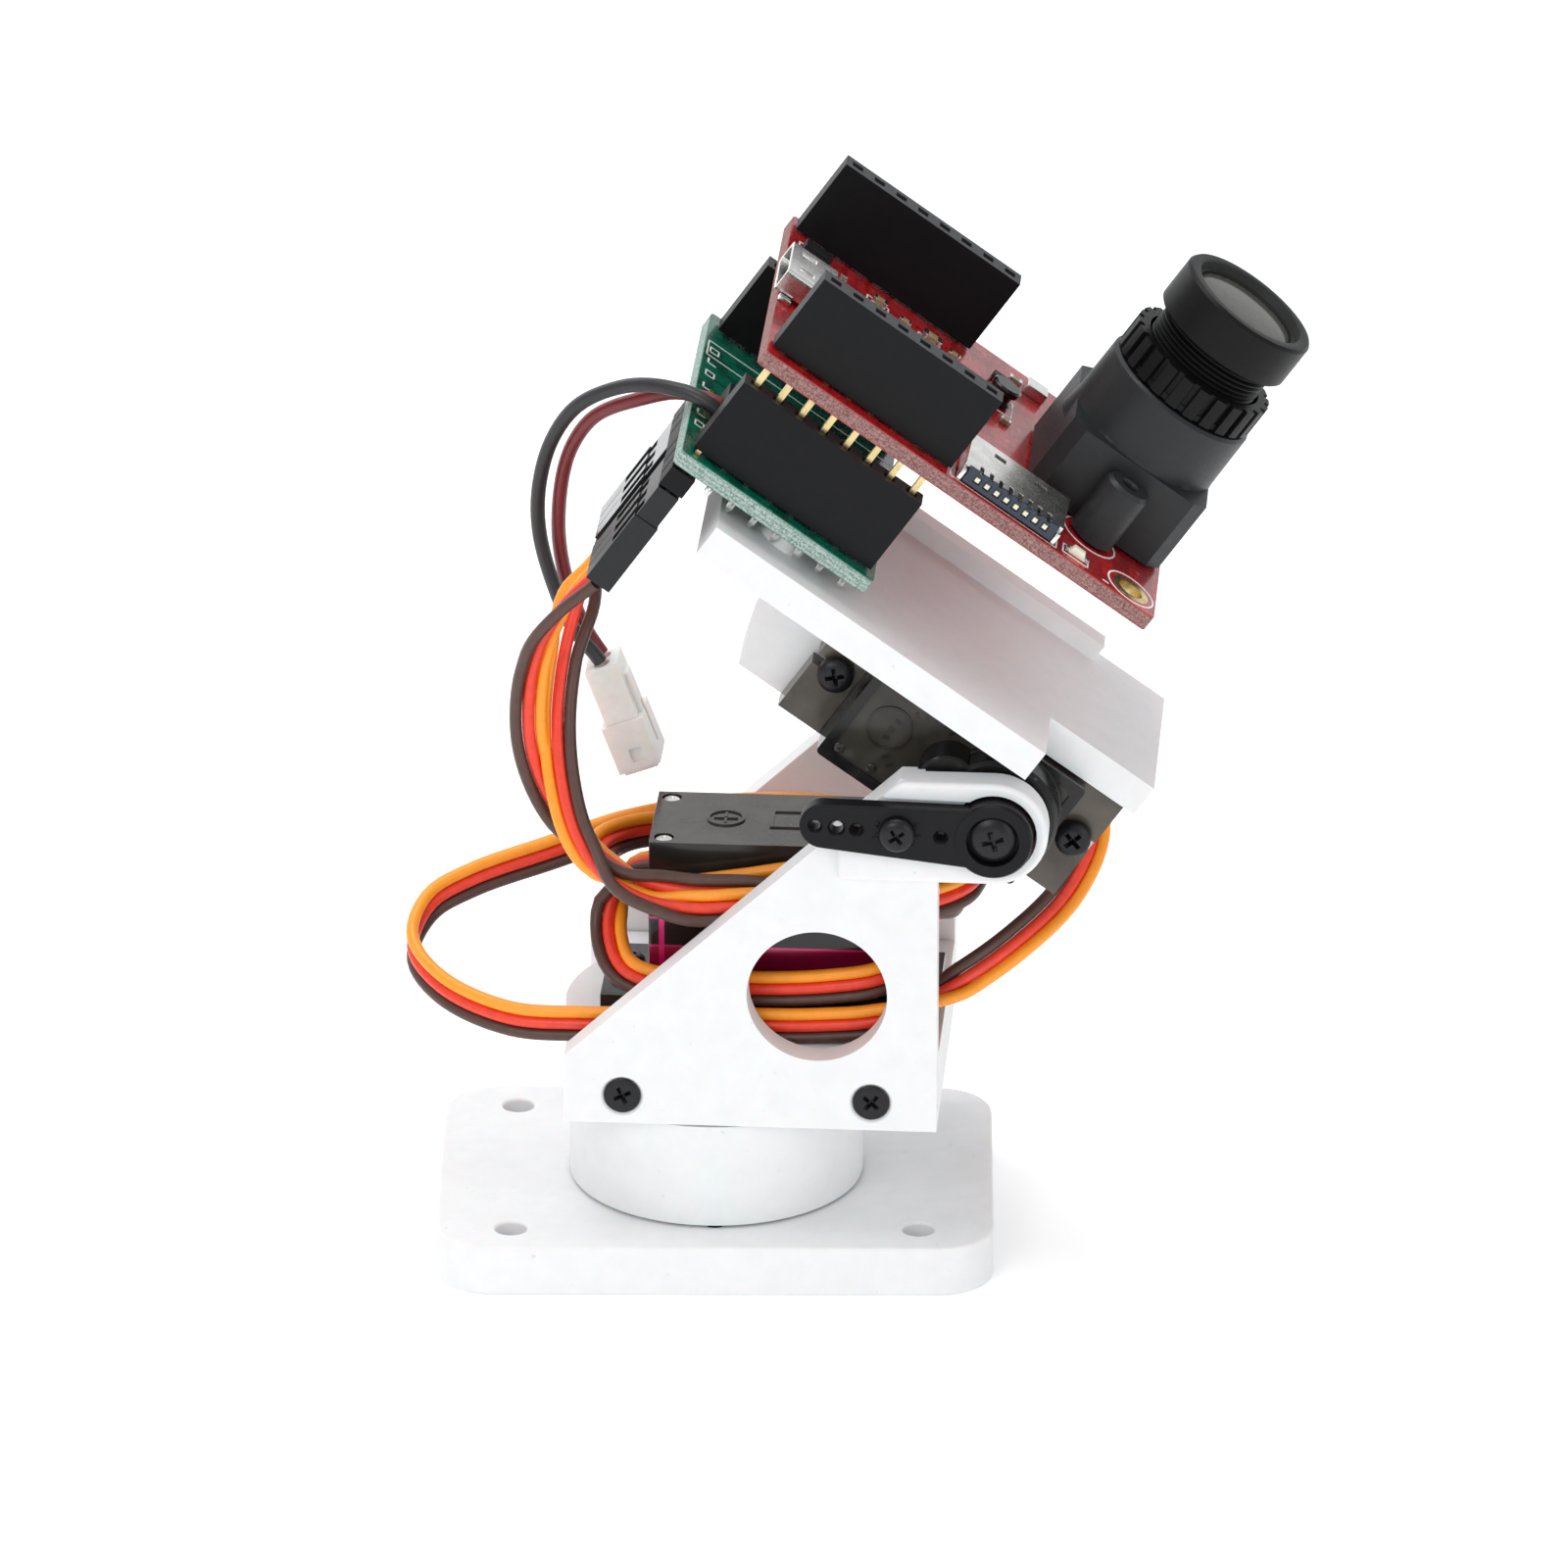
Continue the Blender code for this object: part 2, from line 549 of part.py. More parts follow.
def side_plates(parent, finish):
    ear_top, ear_low = TILT_Z + EAR_R, TILT_Z - EAR_R
    boss_sweep = GEAR_SPACING + SMALL_BOSS_R + GAP
    window = circle(WINDOW_X, WINDOW_Z, WINDOW_R, 36)
    near_inner = FLOOR_NEAR - GAP
    near_outer = near_inner - SIDE_THICKNESS
    near_outline = [
        (SIDE_LEFT, FLOOR_LOW), (SIDE_RIGHT, FLOOR_LOW), (SIDE_RIGHT, ear_low + GAP), (PLATE_TOP_RIGHT, 44.5),
        (PLATE_TOP_RIGHT, ear_top), (EAR_SHOULDER, ear_top), (SIDE_LEFT, SIDE_LEFT_HIGH),
    ]
    ear = [
        (EAR_LEFT, ear_low), *arc(TILT_X, TILT_Z, EAR_R, -90, 90, 14), (EAR_SHOULDER, ear_top),
        (EAR_LEFT, EAR_LEFT_HIGH),
    ]
    along, across = math.cos(math.radians(HORN_RAISED)), math.sin(math.radians(HORN_RAISED))
    recess = [
        (TILT_X + x * along + y * across, TILT_Z - x * across + y * along)
        for x, y in tapered_arm(*HORN_ARM_SIZE, GAP)
    ]
    arm_hole = (TILT_X - ARM_SCREW_AT * along, TILT_Z + ARM_SCREW_AT * across)
    piece(
        "near_side_plate",
        prism(near_outline, near_outer, near_inner, "XZ"),
        parent,
        finish["white"],
        add=[prism(ear, EAR_FRONT, EAR_BACK, "XZ")],
        cut=[
            prism(window, near_outer - 1, near_inner + 1, "XZ"),
            cylinder(TILT_X, TILT_Z, HORN_R + GAP, EAR_FRONT - 1, EAR_BACK + 1, 28, "XZ"),
            prism(recess, EAR_FRONT - 1, EAR_FRONT + 0.6, "XZ"),
            cylinder(*arm_hole, 1.0, EAR_FRONT - 1, near_inner + 1, 12, "XZ"),
            cylinder(TILT_X, TILT_Z, boss_sweep, EAR_BACK, near_inner + 1, plane="XZ"),
            together(*[countersink(x, z, near_outer, near_inner) for x, z in SIDE_SCREWS]),
        ],
    )
    far_inner = FLOOR_FAR + GAP
    far_outer = far_inner + SIDE_THICKNESS
    far_outline = [
        (SIDE_LEFT, FLOOR_LOW), (SIDE_RIGHT, FLOOR_LOW), (SIDE_RIGHT, FAR_TOP), (FAR_TOP_LEFT, FAR_TOP),
        (SIDE_LEFT, SIDE_LEFT_HIGH),
    ]
    piece(
        "far_side_plate",
        prism(far_outline, far_inner, far_outer, "XZ"),
        parent,
        finish["white"],
        cut=[
            prism(window, far_inner - 1, far_outer + 1, "XZ"),
            together(*[countersink(x, z, far_outer, far_inner) for x, z in SIDE_SCREWS]),
        ],
    )
    faces = ((near_outer, 90), (far_outer, -90))
    sides = [(y, turn, x, z) for y, turn in faces for x, z in SIDE_SCREWS]
    for number, (y, turn, x, z) in enumerate(sides, start=1):
        screw(
            f"side_screw_{number}", parent, finish["black_steel"], (x, y, z), (turn, 0, 0),
            1.75, 0.95, 0.75, 7.0, countersunk=True,
        )
    screw(
        "tilt_horn_arm_screw", parent, finish["black_steel"],
        (arm_hole[0], TILT_SERVO_REAR - HORN_HIGH - 1.0, arm_hole[1]), (90, 0, 0), 1.7, 0.9, 0.65, 5.2,
    )


def ear_screws(prefix, parent, finish, level, turn):
    for number, u in enumerate(EAR_SCREWS, start=1):
        screw(
            f"{prefix}_ear_screw_{number}", parent, finish["black_steel"], (u, 0, level), (turn, 0, 0),
            1.75, 1.3, 0.7, 7.0,
        )


# Platform and boards


def platform(parent, finish):
    outline = [
        (DECK_LEFT, DECK_NEAR), (NOTCH_X, DECK_NEAR), (NOTCH_X, NOTCH_Y), (DECK_RIGHT, NOTCH_Y),
        (DECK_RIGHT, DECK_FAR), (DECK_LEFT, DECK_FAR),
    ]
    block_near, block_far = TILT_SERVO_REAR - FLANGE_LOW + GAP, 5.4
    left_end, right_end = SERVO_LEFT - GAP, SERVO_RIGHT + GAP
    root = DECK_LOW + 1
    left_outline = [(-26.5, -6), (left_end, -6), (left_end, root), (-28.0, root), (-27.8, -2)]
    left_block = prism(left_outline, block_near, block_far, "XZ")
    right_block = prism(rectangle(right_end, -6, DECK_RIGHT - 0.01, root), block_near, block_far, "XZ")
    rail = box((DECK_LEFT + 0.01, RAIL_NEAR, DECK_LOW + 1), (RAIL_RIGHT, DECK_FAR - 0.01, RAIL_HIGH))
    boss = cylinder(SHIELD_SCREW_X, SHIELD_SCREW_Y, 2.4, DECK_LOW + 1, RAIL_HIGH, 16)
    ear_holes = [cylinder(u, 0, 1.0, block_near - 1, block_far + 1, 12, "XZ") for u in EAR_SCREWS]
    piece(
        "platform",
        prism(outline, DECK_LOW, DECK_HIGH),
        parent,
        finish["white"],
        add=[left_block, right_block, rail, boss],
        cut=[together(*ear_holes), cylinder(SHIELD_SCREW_X, SHIELD_SCREW_Y, 1.1, 0, 20, 12)],
    )
    screw(
        "shield_screw", parent, finish["black_steel"],
        (SHIELD_SCREW_X, SHIELD_SCREW_Y, DECK_LOW - GAP - 1.2), (180, 0, 0), 1.8, 1.2, 0.75, 7.8,
    )


def pin_places():
    start = HEADER_LEFT + HEADER_LENGTH / 2 - PITCH * (PINS - 1) / 2
    return [start + PITCH * number for number in range(PINS)]


def pin_row(y, half, low, high):
    return together(*[box((x - half, y - half, low), (x + half, y + half, high)) for x in pin_places()])


def header(name, y, board_top, parent, finish):
    """A female header: eight sockets on top, and eight pins down through its board."""
    low = board_top + GAP
    high = low + HEADER_HEIGHT
    board_low = board_top - BOARD_THICKNESS
    half, right = HEADER_WIDTH / 2, HEADER_LEFT + HEADER_LENGTH
    body = box((HEADER_LEFT, y - half, low), (right, y + half, high))
    pins_low = board_low - (4.6 if board_low > CAMERA_LOW - 1 else 1.7)
    piece(
        name,
        body,
        parent,
        finish["black_plastic"],
        add=[pin_row(y, PIN_HALF, pins_low, low + 0.5)],
        cut=[pin_row(y, SOCKET_HALF, high - 6.0, high + 1)],
    )


def board(name, left, right, low, parent, colour, holes):
    body = box((left, BOARD_Y - BOARD_HALF, low), (right, BOARD_Y + BOARD_HALF, low + BOARD_THICKNESS))
    rows = [
        box((x - SOCKET_HALF, y - SOCKET_HALF, low - 1), (x + SOCKET_HALF, y + SOCKET_HALF, low + 3))
        for x in pin_places()
        for y in header_rows()
    ]
    piece(name, body, parent, colour, cut=[together(*rows, *holes)])


def header_rows():
    return (BOARD_Y - HEADER_SPREAD, BOARD_Y + HEADER_SPREAD)


def plug_pins(half, low, high):
    """The pins of both servo plugs, three to each."""
    places = [y + PITCH * step for y in PLUG_Y for step in (-1, 0, 1)]
    return [box((PLUG_X - half, y - half, low), (PLUG_X + half, y + half, high)) for y in places]


def shield(parent, finish):
    low, high = SHIELD_LOW, SHIELD_LOW + BOARD_THICKNESS
    holes = plug_pins(SOCKET_HALF, low - 1, high + 1)
    holes.append(cylinder(SHIELD_SCREW_X, SHIELD_SCREW_Y, 1.05, low - 1, high + 1, 12))
    board("shield_board", SHIELD_LEFT, SHIELD_RIGHT, low, parent, finish["green_board"], holes)
    for name, y in zip(("shield_header_near", "shield_header_far"), header_rows()):
        header(name, y, high, parent, finish)
    reach_x, reach_y = PLUG_WIDTH / 2, PLUG_DEPTH / 2
    carrier = box(
        (PLUG_X - reach_x, PLUG_Y[0] - reach_y, PLUG_TOP + GAP),
        (PLUG_X + reach_x, PLUG_Y[1] + reach_y, low - GAP),
    )
    pins = together(*plug_pins(PIN_HALF, 4.0, high))
    first_x, first_y = pin_places()[0], header_rows()[0]
    passing_pin = box(
        (first_x - SOCKET_HALF, first_y - SOCKET_HALF, 9.8), (PLUG_X + 2, first_y + SOCKET_HALF, low)
    )
    piece("servo_pin_header", carrier, parent, finish["black_plastic"], add=[pins], cut=[passing_pin])


def servo_plugs(parent, finish):
    wide, deep = PLUG_WIDTH / 2, PLUG_DEPTH / 2
    for name, y in zip(("tilt_lead_plug", "pan_lead_plug"), PLUG_Y):
        body = box((PLUG_X - wide, y - deep, PLUG_LOW), (PLUG_X + wide, y + deep, PLUG_TOP))
        slots = [
            box((PLUG_X - 0.65, y + step - 0.65, 3.0), (PLUG_X + 0.65, y + step + 0.65, PLUG_TOP + 1))
            for step in (-PITCH, 0, PITCH)
        ]
        piece(name, body, parent, finish["black_plastic"], cut=[together(*slots)])


def camera(parent, finish):
    low, top = CAMERA_LOW, CAMERA_LOW + BOARD_THICKNESS
    corner = (CAMERA_RIGHT - 2.9, BOARD_Y - BOARD_HALF + 2.9)
    far_corner = (CAMERA_RIGHT - 2.9, BOARD_Y + BOARD_HALF - 2.9)
    holes = [cylinder(x, y, 1.35, low - 1, top + 1, 16) for x, y in (corner, far_corner)]
    board("camera_board", CAMERA_LEFT, CAMERA_RIGHT, low, parent, finish["red_board"], holes)
    for name, y in zip(("camera_header_near", "camera_header_far"), header_rows()):
        header(name, y, top, parent, finish)
    near = BOARD_Y - BOARD_HALF + 0.2
    piece(
        "memory_card_socket",
        box((-23.5, near, top + GAP), (-12.4, near + 7.2, top + 2.3)),
        parent,
        finish["steel"],
        cut=[box((-22.8, near - 1, top + GAP + 0.45), (-13.1, near + 6.0, top + 1.7))],
    )
    piece(
        "usb_socket",
        box((-45.9, BOARD_Y - 3.8, top + GAP), (-40.6, BOARD_Y + 3.8, top + 2.9)),
        parent,
        finish["steel"],
        cut=[box((-47.0, BOARD_Y - 3.3, top + GAP + 0.4), (-41.4, BOARD_Y + 3.3, top + 2.5))],
    )


def lens(parent, finish):
    top = CAMERA_LOW + BOARD_THICKNESS
    axis = frame("lens_axis", parent, (LENS_X, BOARD_Y, top))
    bore = 6.25
    bosses = [cylinder(0, side * LENS_BOSS_Y, 2.3, GAP, 6.6, 16) for side in (-1, 1)]
    screw_holes = [cylinder(0, side * LENS_BOSS_Y, 0.8, -1, 4.5, 10) for side in (-1, 1)]
    piece(
        "lens_holder",
        box((-7.6, -8.0, GAP), (7.6, 8.0, 8.0)),
        axis,
        finish["black_plastic"],
        add=[cylinder(0, 0, 7.75, 7.0, 14.2), *bosses],
        cut=[cylinder(0, 0, bore, -1, 15), together(*screw_holes)],
    )
    ring = [(bore, 14.5), (7.5, 14.5), (7.5, 17.6), (bore, 17.6)]
    piece("lens_lock_ring", turned(ring), axis, finish["black_plastic"])
    barrel = [
        (0, 3.0), (5.95, 3.0), (5.95, 20.4), (7.0, 20.8), (7.0, 25.0), (5.9, 25.0), (5.2, 23.8), (0, 23.8),
    ]
    piece("lens_barrel", turned(barrel), axis, finish["black_plastic"])


def power_plug(parent, finish):
    long, wide, thick = POWER_PLUG_SIZE
    direction = frame("power_plug_axis", parent, POWER_PLUG_AT, (0, POWER_PLUG_DROOP, 0))
    step = 0.45
    piece(
        "power_plug",
        box((0, -wide / 2 + step, -thick / 2 + step), (long, wide / 2 - step, thick / 2 - step)),
        direction,
        finish["nylon"],
        add=[box((long * 0.52, -wide / 2, -thick / 2), (long - 0.4, wide / 2, thick / 2))],
    )


def clear_scene():
    for item in list(bpy.data.objects):
        bpy.data.objects.remove(item, do_unlink=True)


def main():
    clear_scene()
    finish = {
        "white": material("white_print", (0.86, 0.87, 0.88), 0.5),
        "smoke": material("smoked_case", (0.06, 0.05, 0.04), 0.25, alpha=0.85),
        "black_plastic": material("black_plastic", (0.02, 0.02, 0.022), 0.45),
        "black_steel": material("black_steel", (0.03, 0.03, 0.03), 0.35, 0.8),
        "steel": material("steel", (0.6, 0.6, 0.58), 0.3, 1.0),
        "brass": material("brass", (0.8, 0.6, 0.25), 0.3, 1.0),
        "nylon": material("nylon", (0.85, 0.83, 0.78), 0.5),
        "red_board": material("red_board", (0.5, 0.04, 0.04), 0.4),
        "green_board": material("green_board", (0.02, 0.25, 0.12), 0.4),
        "orange_wire": material("orange_wire", (1.0, 0.4, 0.04), 0.45),
        "dark_wire": material("dark_wire", (0.08, 0.01, 0.01), 0.45),
    }
    base(finish)
    pan = frame("pan_axis", turn=(0, 0, PAN_REST))
    tilt = frame("tilt_axis", pan, (TILT_X, 0, TILT_Z), (0, TILT_REST, 0))

    pan_servo = frame("pan_servo_frame", pan, (0, 0, PAN_SERVO_TOP), (0, 180, 0))
    servo("pan_servo", pan_servo, finish)
    gear_train("pan", pan_servo, finish)
    ear_screws("pan_servo", pan_servo, finish, FLANGE_LOW - GAP - 1.3, 180)
    output_gear("pan_output_gear", pan_servo, finish)
    horn("pan_horn", pan_servo, finish, double_arm(2.6, 10.2), ((7.5, 0.5), (-7.5, 0.5)), 0)
    horn_screw("pan_horn_screw", pan_servo, finish)

    floor_block(pan, finish)
    side_plates(pan, finish)

    tilt_servo = frame("tilt_servo_frame", tilt, (0, TILT_SERVO_REAR, 0), (90, 0, 0))
    servo("tilt_servo", tilt_servo, finish)
    gear_train("tilt", tilt_servo, finish)
    ear_screws("tilt_servo", tilt_servo, finish, FLANGE_HIGH + GAP + 1.3, 0)
    held = frame("tilt_horn_frame", pan, (TILT_X, TILT_SERVO_REAR, TILT_Z), (90, 0, 0))
    output_gear("tilt_output_gear", tilt_servo, finish)
    horn("tilt_horn", held, finish, tapered_arm(*HORN_ARM_SIZE), HORN_HOLES, -HORN_RAISED)
    horn_screw("tilt_horn_screw", held, finish)

    platform(tilt, finish)
    shield(tilt, finish)
    camera(tilt, finish)
    lens(tilt, finish)
    servo_plugs(tilt, finish)
    power_plug(tilt, finish)
    lead("pan_lead", PAN_LEAD_ROUTE, LEAD_R, pan, finish["orange_wire"])
    lead("tilt_lead", TILT_LEAD_ROUTE, LEAD_R, pan, finish["orange_wire"])
    lead("power_lead", POWER_LEAD_ROUTE, POWER_R, tilt, finish["dark_wire"])


main()
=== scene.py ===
"""Looks of the pan tilt camera mount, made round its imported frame.

Pieces are built in millimetres, in the same local frames as the CAD, and scaled to metres as they
are made: ROW, PAN (bracket), TILT (platform), one frame for each servo, the horn, lens and plug.
"""

import math
import random

import bmesh
import bpy
from mathutils import Matrix, Vector


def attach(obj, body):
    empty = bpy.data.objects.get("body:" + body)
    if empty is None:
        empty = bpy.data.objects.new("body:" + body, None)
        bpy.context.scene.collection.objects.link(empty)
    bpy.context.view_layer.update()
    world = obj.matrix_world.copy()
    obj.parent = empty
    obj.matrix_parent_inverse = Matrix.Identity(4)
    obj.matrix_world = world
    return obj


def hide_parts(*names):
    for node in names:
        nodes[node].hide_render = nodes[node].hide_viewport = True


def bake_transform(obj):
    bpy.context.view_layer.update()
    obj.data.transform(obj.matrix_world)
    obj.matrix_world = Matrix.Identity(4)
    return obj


MM = 0.001
GAP = 0.3
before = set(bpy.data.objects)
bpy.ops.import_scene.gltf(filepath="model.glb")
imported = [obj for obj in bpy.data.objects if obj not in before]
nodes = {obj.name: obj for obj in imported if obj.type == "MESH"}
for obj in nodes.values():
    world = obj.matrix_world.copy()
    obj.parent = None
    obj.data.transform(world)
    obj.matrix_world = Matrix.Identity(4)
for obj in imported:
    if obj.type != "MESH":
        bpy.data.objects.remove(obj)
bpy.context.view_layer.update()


def turn(axis, degrees):
    return Matrix.Rotation(math.radians(degrees), 4, axis)


def shift(*by):
    return Matrix.Translation(by)


# The tilt axis, the angle of the horn on it, and its arm's two half widths and length, in millimetres.
TILT_X, TILT_Z, HORN_RAISED = 27.3, 47.2, 4
HORN_ARM = (3.0, 2.25, 18.2)
# The undersides of the two boards, and their thickness.
CAMERA_LOW, SHIELD_LOW, BOARD_THICK = 24.6, 11.8, 1.6
ROW = Matrix.Identity(4)
PAN = turn("Z", -3.7)
TILT = PAN @ shift(TILT_X, 0, TILT_Z) @ turn("Y", 35.5)
PAN_SERVO = PAN @ shift(0, 0, 41.5) @ turn("Y", 180)
TILT_SERVO = TILT @ shift(0, 15.1, 0) @ turn("X", 90)
HORN = PAN @ shift(TILT_X, 15.1, TILT_Z) @ turn("X", 90) @ turn("Z", -HORN_RAISED)
LENS = TILT @ shift(-8.6, 4.2, CAMERA_LOW + BOARD_THICK)
POWER = TILT @ shift(-35.2, 10.0, -17.6) @ turn("Y", 34)
TO_METRES = Matrix.Scale(MM, 4)
LIT_POINT = Vector((0, 0, 0.045))
# Where a piece is built, and the body that it rides on.
ON_BASE, ON_BRACKET, ON_PLATFORM, ON_HORN = (ROW, "base"), (PAN, "bracket"), (TILT, "platform"), (HORN,
        "bracket")


def added(name, data):
    item = bpy.data.objects.new(name, data)
    bpy.context.collection.objects.link(item)
    return item


# Camera, light and floor


def camera():
    azimuth, elevation = math.radians(0.372), math.radians(23.245)
    flat = math.cos(elevation)
    back = Vector((math.sin(azimuth) * flat, -math.cos(azimuth) * flat, math.sin(elevation)))
    data = bpy.data.cameras.new("camera")
    data.sensor_width, data.lens = 36.0, 290.0
    data.clip_start, data.clip_end = 0.05, 20.0
    item = added("camera", data)
    item.location = MM * (Vector((6.5, 0.0, 45.04)) + 1200 * back)
    item.rotation_euler = back.to_track_quat("Z", "Y").to_euler()
    bpy.context.scene.camera = item


def area_light(name, at, size, power):
    data = bpy.data.lights.new(name, "AREA")
    data.shape, data.size, data.energy = "SQUARE", size, power
    item = added(name, data)
    item.location = at
    item.rotation_euler = (Vector(at) - LIT_POINT).to_track_quat("Z", "Y").to_euler()


def studio():
    area_light("key", (-0.5, -1.0, 0.75), 0.6, 4.1)
    area_light("fill", (0.8, -0.9, 0.35), 0.6, 1.7)
    area_light("top", (-0.1, 0.1, 1.1), 0.7, 5.2)
    area_light("rim", (-0.6, 0.75, 0.5), 0.7, 1.5)
    world = bpy.data.worlds.new("studio")
    world.use_nodes = True
    background = world.node_tree.nodes["Background"]
    background.inputs["Color"].default_value = (0.97, 0.985, 1.0, 1.0)
    background.inputs["Strength"].default_value = 0.62
    bpy.context.scene.world = world
    bpy.context.scene.view_settings.view_transform = "Standard"


# Materials


class Finish:
    """A node material: noise varies its colour and roughness, and raises a fine bump."""

    def __init__(self, name, colour, roughness, metallic=0.0, spread=0.06, grain=1.2, bump=0.1,
                 bump_grain=4.0, bump_mm=0.02, rough_spread=0.08, **sockets):
        self.material = bpy.data.materials.new(name)
        self.material.use_nodes = True
        self.tree = self.material.node_tree
        self.shader = self.tree.nodes["Principled BSDF"]
        self.place = self.node("ShaderNodeTexCoord").outputs["Object"]
        self.shader.inputs["Metallic"].default_value = metallic
        for socket, value in sockets.items():
            self.shader.inputs[socket.replace("_", " ")].default_value = value
        mottle = self.noise(grain)
        low = [max(0.0, part * (1 - spread)) for part in colour]
        high = [min(1.0, part * (1 + spread)) for part in colour]
        self.colour = self.ramp(mottle, [(0.3, low), (0.7, high)])
        self.join(self.colour, "Base Color")
        rough = self.node("ShaderNodeMapRange")
        rough.inputs["To Min"].default_value = max(0.02, roughness - rough_spread)
        rough.inputs["To Max"].default_value = min(1.0, roughness + rough_spread)
        self.link(self.noise(grain * 2.7), rough.inputs["Value"])
        self.join(rough.outputs["Result"], "Roughness")
        raised = self.node("ShaderNodeBump")
        raised.inputs["Strength"].default_value = bump
        raised.inputs["Distance"].default_value = bump_mm * MM
        self.link(self.noise(bump_grain), raised.inputs["Height"])
        self.join(raised.outputs["Normal"], "Normal")

    def node(self, kind, **settings):
        made = self.tree.nodes.new(kind)
        for setting, value in settings.items():
            setattr(made, setting, value)
        return made

    def link(self, source, target):
        self.tree.links.new(source, target)

    def join(self, source, socket):
        self.link(source, self.shader.inputs[socket])

    def noise(self, per_mm, detail=3.0):
        made = self.node("ShaderNodeTexNoise")
        made.inputs["Scale"].default_value = per_mm / MM
        made.inputs["Detail"].default_value = detail
        self.link(self.place, made.inputs["Vector"])
        return made.outputs["Fac"]

    def ramp(self, factor, stops):
        made = self.node("ShaderNodeValToRGB")
        while len(made.color_ramp.elements) < len(stops):
            made.color_ramp.elements.new(0.5)
        for element, (at, colour) in zip(made.color_ramp.elements, stops):
            element.position = at
            element.color = (*colour, 1.0)
        self.link(factor, made.inputs["Fac"])
        return made.outputs["Color"]

    def mix(self, factor, first, second):
        """The first colour where the factor is 0, and the second, a colour or a socket, where it is 1."""
        made = self.node("ShaderNodeMix", data_type="RGBA")
        self.link(factor, made.inputs["Factor"])
        self.link(first, made.inputs["A"])
        if isinstance(second, tuple):
            made.inputs["B"].default_value = (*second, 1.0)
        else:
            self.link(second, made.inputs["B"])
        return made.outputs["Result"]

    def along(self, place, axis):
        """How far a point is along a local frame's axis, in millimetres."""
        inverse = place.inverted()
        index = "XYZ".index(axis)
        product = self.node("ShaderNodeVectorMath", operation="DOT_PRODUCT")
        self.link(self.place, product.inputs[0])
        product.inputs[1].default_value = [value / MM for value in inverse[index][:3]]
        total = self.node("ShaderNodeMath", operation="ADD")
        self.link(product.outputs["Value"], total.inputs[0])
        total.inputs[1].default_value = inverse[index][3]
        return total.outputs["Value"]

    def span(self, value, low, high):
        """0 below low and 1 above high."""
        made = self.node("ShaderNodeMapRange")
        made.inputs["From Min"].default_value = low
        made.inputs["From Max"].default_value = high
        self.link(value, made.inputs["Value"])
        return made.outputs["Result"]

    def recolour(self, colour):
        self.colour = colour
        self.join(colour, "Base Color")


def board_mask(name, colour, darker, lighter):
    """Solder mask with the copper's traces and vias just showing through it."""
    made = Finish(name, colour, 0.28, spread=0.08, grain=0.5, bump=0.12, bump_grain=1.0, Coat_Weight=0.35)
    cells = made.node("ShaderNodeTexVoronoi", distance="CHEBYCHEV", feature="F1")
    cells.inputs["Scale"].default_value = 0.42 / MM
    cells.inputs["Randomness"].default_value = 0.75
    made.link(made.place, cells.inputs["Vector"])
    lines = made.ramp(cells.outputs["Distance"], [(0.40, (0, 0, 0)), (0.47, (1, 1, 1))])
    made.recolour(made.mix(lines, made.colour, darker))
    vias = made.node("ShaderNodeTexVoronoi", feature="F1")
    vias.inputs["Scale"].default_value = 0.3 / MM
    made.link(made.place, vias.inputs["Vector"])
    dots = made.ramp(vias.outputs["Distance"], [(0.07, (1, 1, 1)), (0.09, (0, 0, 0))])
    made.recolour(made.mix(dots, made.colour, lighter))
    return made.material


def board_edge(name, place, low, core, mask, speck):
    """The cut glass-fibre edge: speckled layers between two thin lines of mask."""
    made = Finish(name, core, 0.75, spread=0.14, grain=1.6, bump=0.5, bump_grain=3.0, bump_mm=0.05)
    height = made.along(place, "Z")
    fibres = made.noise(5.5, 4.0)
    made.recolour(made.mix(made.ramp(fibres, [(0.46, (0, 0, 0)), (0.6, (1, 1, 1))]), made.colour, speck))
    layers = made.node("ShaderNodeMath", operation="SINE")
    scaled = made.node("ShaderNodeMath", operation="MULTIPLY")
    made.link(height, scaled.inputs[0])
    scaled.inputs[1].default_value = 14.0
    made.link(scaled.outputs["Value"], layers.inputs[0])
    stripes = made.span(layers.outputs["Value"], 0.5, 1.4)
    made.recolour(made.mix(stripes, made.colour, mask))
    made.recolour(made.mix(made.span(height, low + 1.42, low + 1.50), made.colour, mask))
    made.recolour(made.mix(made.span(height, low + 0.12, low + 0.05), made.colour, mask))
    return made.material


def label_foil(name, place):
    """Crimson foil with pink bars and a black band round the servo."""
    made = Finish(name, (0.22, 0.004, 0.045), 0.22, metallic=0.55, spread=0.25, grain=0.25, bump=0.05,
                  Coat_Weight=0.6)
    height = made.along(place, "Z")
    where = made.span(height, 7.7, 15.6)
    black, crimson, pink = (0.006, 0.003, 0.004), (0.26, 0.005, 0.05), (0.78, 0.02, 0.22)
    bands = made.ramp(
        where,
        [
            (0.0, pink), (0.035, black), (0.36, black), (0.375, pink), (0.40, crimson),
            (0.62, (0.4, 0.008, 0.09)),
            (0.84, crimson), (0.87, black),
        ],
    )
    made.recolour(bands)
    end = made.along(place, "X")
    for low in (4.4, -15.9):
        first, last = made.span(end, low, low + 0.1), made.span(end, low + 0.5, low + 0.6)
        strip = made.node("ShaderNodeMath", operation="SUBTRACT")
        made.link(first, strip.inputs[0])
        made.link(last, strip.inputs[1])
        made.recolour(made.mix(strip.outputs["Value"], made.colour, pink))
    return made.material


